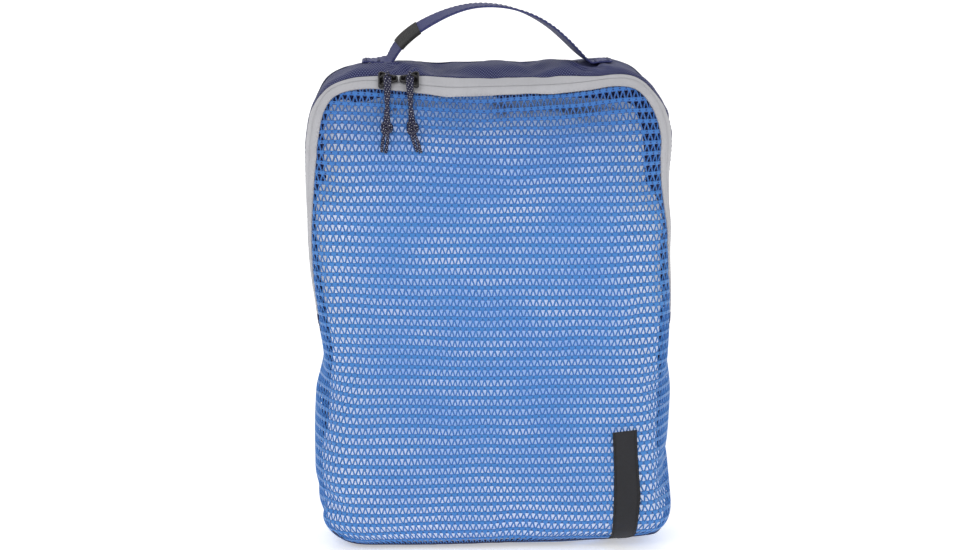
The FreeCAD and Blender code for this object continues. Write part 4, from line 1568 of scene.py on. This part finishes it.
def strap_stitches(name, frames, side):
    run = path_run(frames[0])
    parts = []
    start = 3.0
    while start < run[-1] - 4:
        at = start + np.array([0, 0.4, 1.2, 2.0, 2.4])
        centre, across, normal = (along_path(at, run, field) for field in frames)
        outer = 1.0 if normal[2, 2] > 0 else -1.0
        lift = np.array([0.55, 0.78, 0.84, 0.78, 0.55])[:, None] * outer
        parts.append(tube(centre + across * side + normal * lift, 0.17, 5))
        start += 3.6
    tell(make_parts(name, parts, THREAD_NAVY), blend="handle")


def bar_tacks(centre):
    """Dense thread bars across the sewn ends."""
    # one thread: x and y from its start, z above the strap's face
    thread = np.array([(-0.9, 0, -0.5), (-0.7, 0.1, 0.15), (0, 0.25, 0.28),
                       (0.7, 0.4, 0.15), (0.9, 0.5, -0.5)])
    parts = []
    for x in (-87.8, -78.5, 75.5, 84.2):
        z = float(np.interp(x, centre[:, 0], centre[:, 2])) + 0.55
        parts += [tube(thread + (x, 3.4 + k * 0.82, z), 0.3, 6) for k in range(22)]
    ob = make_parts("bar_tack_threads", parts, THREAD_NAVY)
    tell(ob, "bar_tacks", slot="navy_webbing")


def size_tag(frames):
    """Sleeve folded round the left limb of the strap."""
    centre = frames[0]
    first, last = (
        int(np.argmin(np.hypot(centre[:, 0] - x, centre[:, 2] - z)))
        for x, z in ((-64.8, 358.8), (-50.6, 372.6))
    )
    part = [field[first:last] for field in frames]
    ob = ribbon("size_tag_sleeve", part, STRAP_HALF + 0.9, 1.35, TAG)
    tell(ob, "size_tag", slot="black_tag", blend="handle")


strap_line = strap_frames(260)
tell(ribbon("handle_webbing", strap_line, STRAP_HALF, 0.72, WEBBING),
     "handle_strap", "handle_tab_left", "handle_tab_right",
     slot="navy_webbing", blend="handle")
strap_stitches("stitch_webbing_a", strap_line, -8.7)
strap_stitches("stitch_webbing_b", strap_line, 8.7)
bar_tacks(strap_line[0])
size_tag(strap_line)

# ------------------------------------------------------------------ sliders and cords
SHIFT_X = 2.2  # the sliders sit a little along the track, as the tape sags
TILT = math.asin((ROUND_FRONT - CLOSING[0]) / ROUND_FRONT)
COS_TILT, SIN_TILT = math.cos(TILT), math.sin(TILT)
TRACK_Y, TRACK_Z = -30.75, 338.8
BAR_HEIGHT = 5.45  # bridge of the slider above the track
BAR_Y = TRACK_Y - BAR_HEIGHT * SIN_TILT
BAR_Z = TRACK_Z + BAR_HEIGHT * COS_TILT
SLIDERS = {"left": -74.0, "right": -58.5}  # x before the shift

# Top plate of the left slider, (x, y); the right one is mirrored
PLATE = [
    (-6.4, -7.0), (-5.6, -8.3), (-3.6, -8.1), (1.8, -3.6), (7.2, -2.4),
    (7.2, 2.2), (2.0, 3.1), (-3.8, 6.7), (-5.8, 6.7), (-6.6, 5.6),
]
# Bridge over the plate, (x, y, z)
BRIDGE = [
    (-4.3, 0, 2.4), (-4.15, 0, 4.0), (-3.5, 0, 5.15), (-2.0, 0, 5.5),
    (2.0, 0, 5.5), (3.5, 0, 5.15), (4.15, 0, 4.0), (4.3, 0, 2.4),
]


def tilted(points, x):
    """Slider coordinates turned onto the track at x."""
    across, up = points[:, 1], points[:, 2]
    return pack(x + points[:, 0], TRACK_Y + across * COS_TILT - up * SIN_TILT,
                TRACK_Z + across * SIN_TILT + up * COS_TILT)


def bevel_prism(outline, low, high, rim):
    """Plate with softened upper and lower rims."""
    middle = outline.mean(0)
    spokes = unit(outline - middle)
    levels = ((low, rim), (low + rim, 0), (high - rim, 0),
              (high - 0.3 * rim, 0.35 * rim), (high, rim))
    rings = [pack(*(outline - spokes * inward).T, z) for z, inward in levels]
    verts = np.concatenate(rings + [[[*middle, low]], [[*middle, high]]])
    size = (len(levels), len(outline))
    return verts, loft_faces(*size), fan_caps(*size), verts[:, :2].copy()


def dense_loop(points, count=64):
    return ring_smooth(even_ring(np.asarray(points, float), count)[0], 1)


def rectangle(half_x, low_y, high_y):
    return [(-half_x, low_y), (half_x, low_y), (half_x, high_y), (-half_x, high_y)]


def slider(hand, mirror):
    plate = [(x * mirror, y) for x, y in PLATE]
    rail = dense_loop([(x * 0.90, y * 0.88) for x, y in plate], 60)
    neck = bevel_prism(dense_loop(rectangle(2.5, -0.3, 0.3), 24), low=-3.1, high=1.5, rim=0.05)
    neck[0][:, 1] += neck[0][:, 2] * SIN_TILT / COS_TILT
    thicker = smooth((np.abs(np.linspace(-1, 1, 40)) - 0.55) / 0.45)
    verts, faces, uv = join([
        bevel_prism(dense_loop(plate), low=1.15, high=2.6, rim=0.4),
        tube(pack(*rail.T, 2.6), 0.62, 8, closed=True),
        bevel_prism(dense_loop(rectangle(5.2, -3.5, -0.9)), low=-3.7, high=-2.9, rim=0.25),
        neck,
        tube(spline(BRIDGE, 40), 0.62 + 0.35 * thicker, 12),
    ])
    # the front of the upper plate bends down
    verts[:, 2] -= 0.018 * np.square(np.maximum(-3.5 - verts[:, 1], 0)) * (verts[:, 2] > 0)
    ob = make("zip_slider_" + hand, tilted(verts, SLIDERS[hand] + SHIFT_X), faces, SLIDER, uv)
    tell(ob, "slider_" + hand, slot="black_slider", ride="slider_" + hand[0])


def in_front(points, gap):
    """Moves cord points clear of the net behind them."""
    points = np.array(points, float)
    side, up = face_coords(points[:, 0], np.minimum(points[:, 2], 336))
    limit = FACE.at(side, up)[:, 1] - gap
    fade = smooth((338 - points[:, 2]) / 8)
    y = points[:, 1]
    points[:, 1] = np.where(y > limit, y * (1 - fade) + limit * fade, y)
    return points


def cord(hand, tails, drift):
    """Doubled braided cord through the bridge, an overhand knot and two loose tails.

    tails holds (x, drop) of each tail end from the knot; drift is the knot's x offset."""
    x = SLIDERS[hand] + SHIFT_X
    knot_y, knot_z = FRONT - 6.2, 308.4
    # loop over the bar
    loop_radius = 1.95
    turn = np.linspace(-0.25 * math.pi, 1.22 * math.pi, 18)
    loop = pack(x - 0.9 + 1.8 * (turn + 0.8) / 4.6, BAR_Y - loop_radius * np.cos(turn),
                BAR_Z + loop_radius * np.sin(turn))
    parts = [tube(spline(loop, 40), 1.1, 10)]
    # two strands that twist round each other down to the knot
    t = np.linspace(0, 1, 26)
    for side in (-1, 1):
        twist = side * (math.pi * 0.5 + 2.6 * t)
        z = BAR_Z - 0.6 - (BAR_Z - 0.6 - knot_z - 2) * t
        y = (BAR_Y - 2.3) + (knot_y - BAR_Y + 2.3) * (0.35 * t + 0.65 * smooth(t * 1.25))
        strand = pack(x + drift * t * t + 1.3 * np.sin(twist), y - 0.95 * np.cos(twist), z)
        parts.append(tube(in_front(strand, 2.7), 1.42, 12))
    knot_x = x + drift
    knot_y = min(knot_y, float(in_front([(knot_x, 0.0, knot_z)], 4.3)[0, 1]))
    turn = np.linspace(0, 2 * math.pi, 90, endpoint=False)
    reach = 2.05 + 0.95 * np.cos(3 * turn)
    knot = pack(knot_x + reach * np.cos(2 * turn) * 1.12, knot_y + 1.15 * np.sin(3 * turn),
                knot_z + reach * np.sin(2 * turn) * 1.35)
    parts.append(tube(knot, 1.35, 10, closed=True))
    radii = np.full(18, 1.15)
    radii[-2:] = (1.1, 0.95)
    for (tail_x, drop), root, bow in zip(tails, (-0.9, 0.9), (-0.5, 0.4)):
        start = (knot_x + root, knot_y + 0.3, knot_z - 2.6)
        end = (knot_x + tail_x, knot_y + 1.6, knot_z - drop)
        middle = ((start[0] + end[0]) / 2 + bow, knot_y + 0.2, (start[2] + end[2]) / 2)
        parts.append(tube(in_front(spline([start, middle, end], 18), 1.9), radii, 12))
    ob = make_parts("cord_pull_" + hand, parts, CORD)
    tell(ob, "pull_cord_" + hand, slot="cord_black", ride="cord_" + hand[0])


slider("left", 1)
slider("right", -1)
cord("left", tails=[(-3.6, 17.0), (-0.9, 17.8)], drift=-0.6)
cord("right", tails=[(3.4, 16.8), (6.0, 17.6)], drift=1.6)


# ------------------------------------------------------------------ floor, light and camera
# (metres from here on)
def build_floor():
    """Pale floor that curves up into a wall behind the cube."""
    mat = bpy.data.materials.new("floor_pale")
    mat.use_nodes = True
    settings = {
        "Base Color": (0.93, 0.93, 0.93, 1),
        "Roughness": 0.9,
        "Specular IOR Level": 0.1,
        "Emission Color": (1, 1, 1, 1),
        "Emission Strength": 0.42,
    }
    for key, value in settings.items():
        mat.node_tree.nodes["Principled BSDF"].inputs[key].default_value = value
    flat_end, radius, half_wide = 1.2, 0.9, 4.5
    sweep = np.linspace(0, math.pi / 2, 24)[1:]
    section = [(-3.2, 0.0), (flat_end, 0.0)]
    section += [(flat_end + radius * math.sin(k), radius - radius * math.cos(k)) for k in sweep]
    section += [(flat_end + radius, 4.2)]
    verts = [(x, y, z - 0.0004) for y, z in section for x in (-half_wide, half_wide)]
    faces = [(2 * k, 2 * k + 1, 2 * k + 3, 2 * k + 2) for k in range(len(section) - 1)]
    mesh = bpy.data.meshes.new("studio_floor")
    mesh.from_pydata(verts, [], faces)
    mesh.materials.append(mat)
    mesh.polygons.foreach_set("use_smooth", [True] * len(faces))
    link("studio_floor", mesh)


def build_world():
    world = bpy.data.worlds.new("studio")
    scene.world = world
    world.use_nodes = True
    background = world.node_tree.nodes["Background"]
    background.inputs["Color"].default_value = (1, 1, 1, 1)
    background.inputs["Strength"].default_value = 0.50


def aim(ob, place, target):
    ob.location = place
    ob.rotation_euler = (Vector(target) - Vector(place)).to_track_quat("-Z", "Y").to_euler()


def area_light(name, place, size, power):
    data = bpy.data.lights.new(name, "AREA")
    data.shape = "RECTANGLE"
    data.size, data.size_y = size
    data.energy = power
    aim(link(name, data), place, target=(0, 0, 0.2))


def build_camera():
    data = bpy.data.cameras.new("camera")
    data.sensor_width = 36.0
    data.lens = 95.0
    data.clip_start, data.clip_end = 0.05, 30
    camera = link("camera", data)
    rise, turn = math.radians(11.5), math.radians(-1.4)
    distance = 1.8515
    target = Vector((-0.0006, 0.0, 0.1948))
    direction = Vector((math.sin(turn) * math.cos(rise), -math.cos(turn) * math.cos(rise),
                        math.sin(rise)))
    aim(camera, target + direction * distance, target)
    scene.camera = camera


build_floor()
build_world()
area_light("key", place=(-0.9, -1.7, 1.5), size=(1.2, 1.2), power=13)
area_light("fill_light", place=(1.3, -1.4, 0.9), size=(1.2, 1.4), power=5)
area_light("top", place=(0.0, 0.1, 1.9), size=(1.4, 1.0), power=4)
build_camera()
scene.view_settings.view_transform = "Standard"
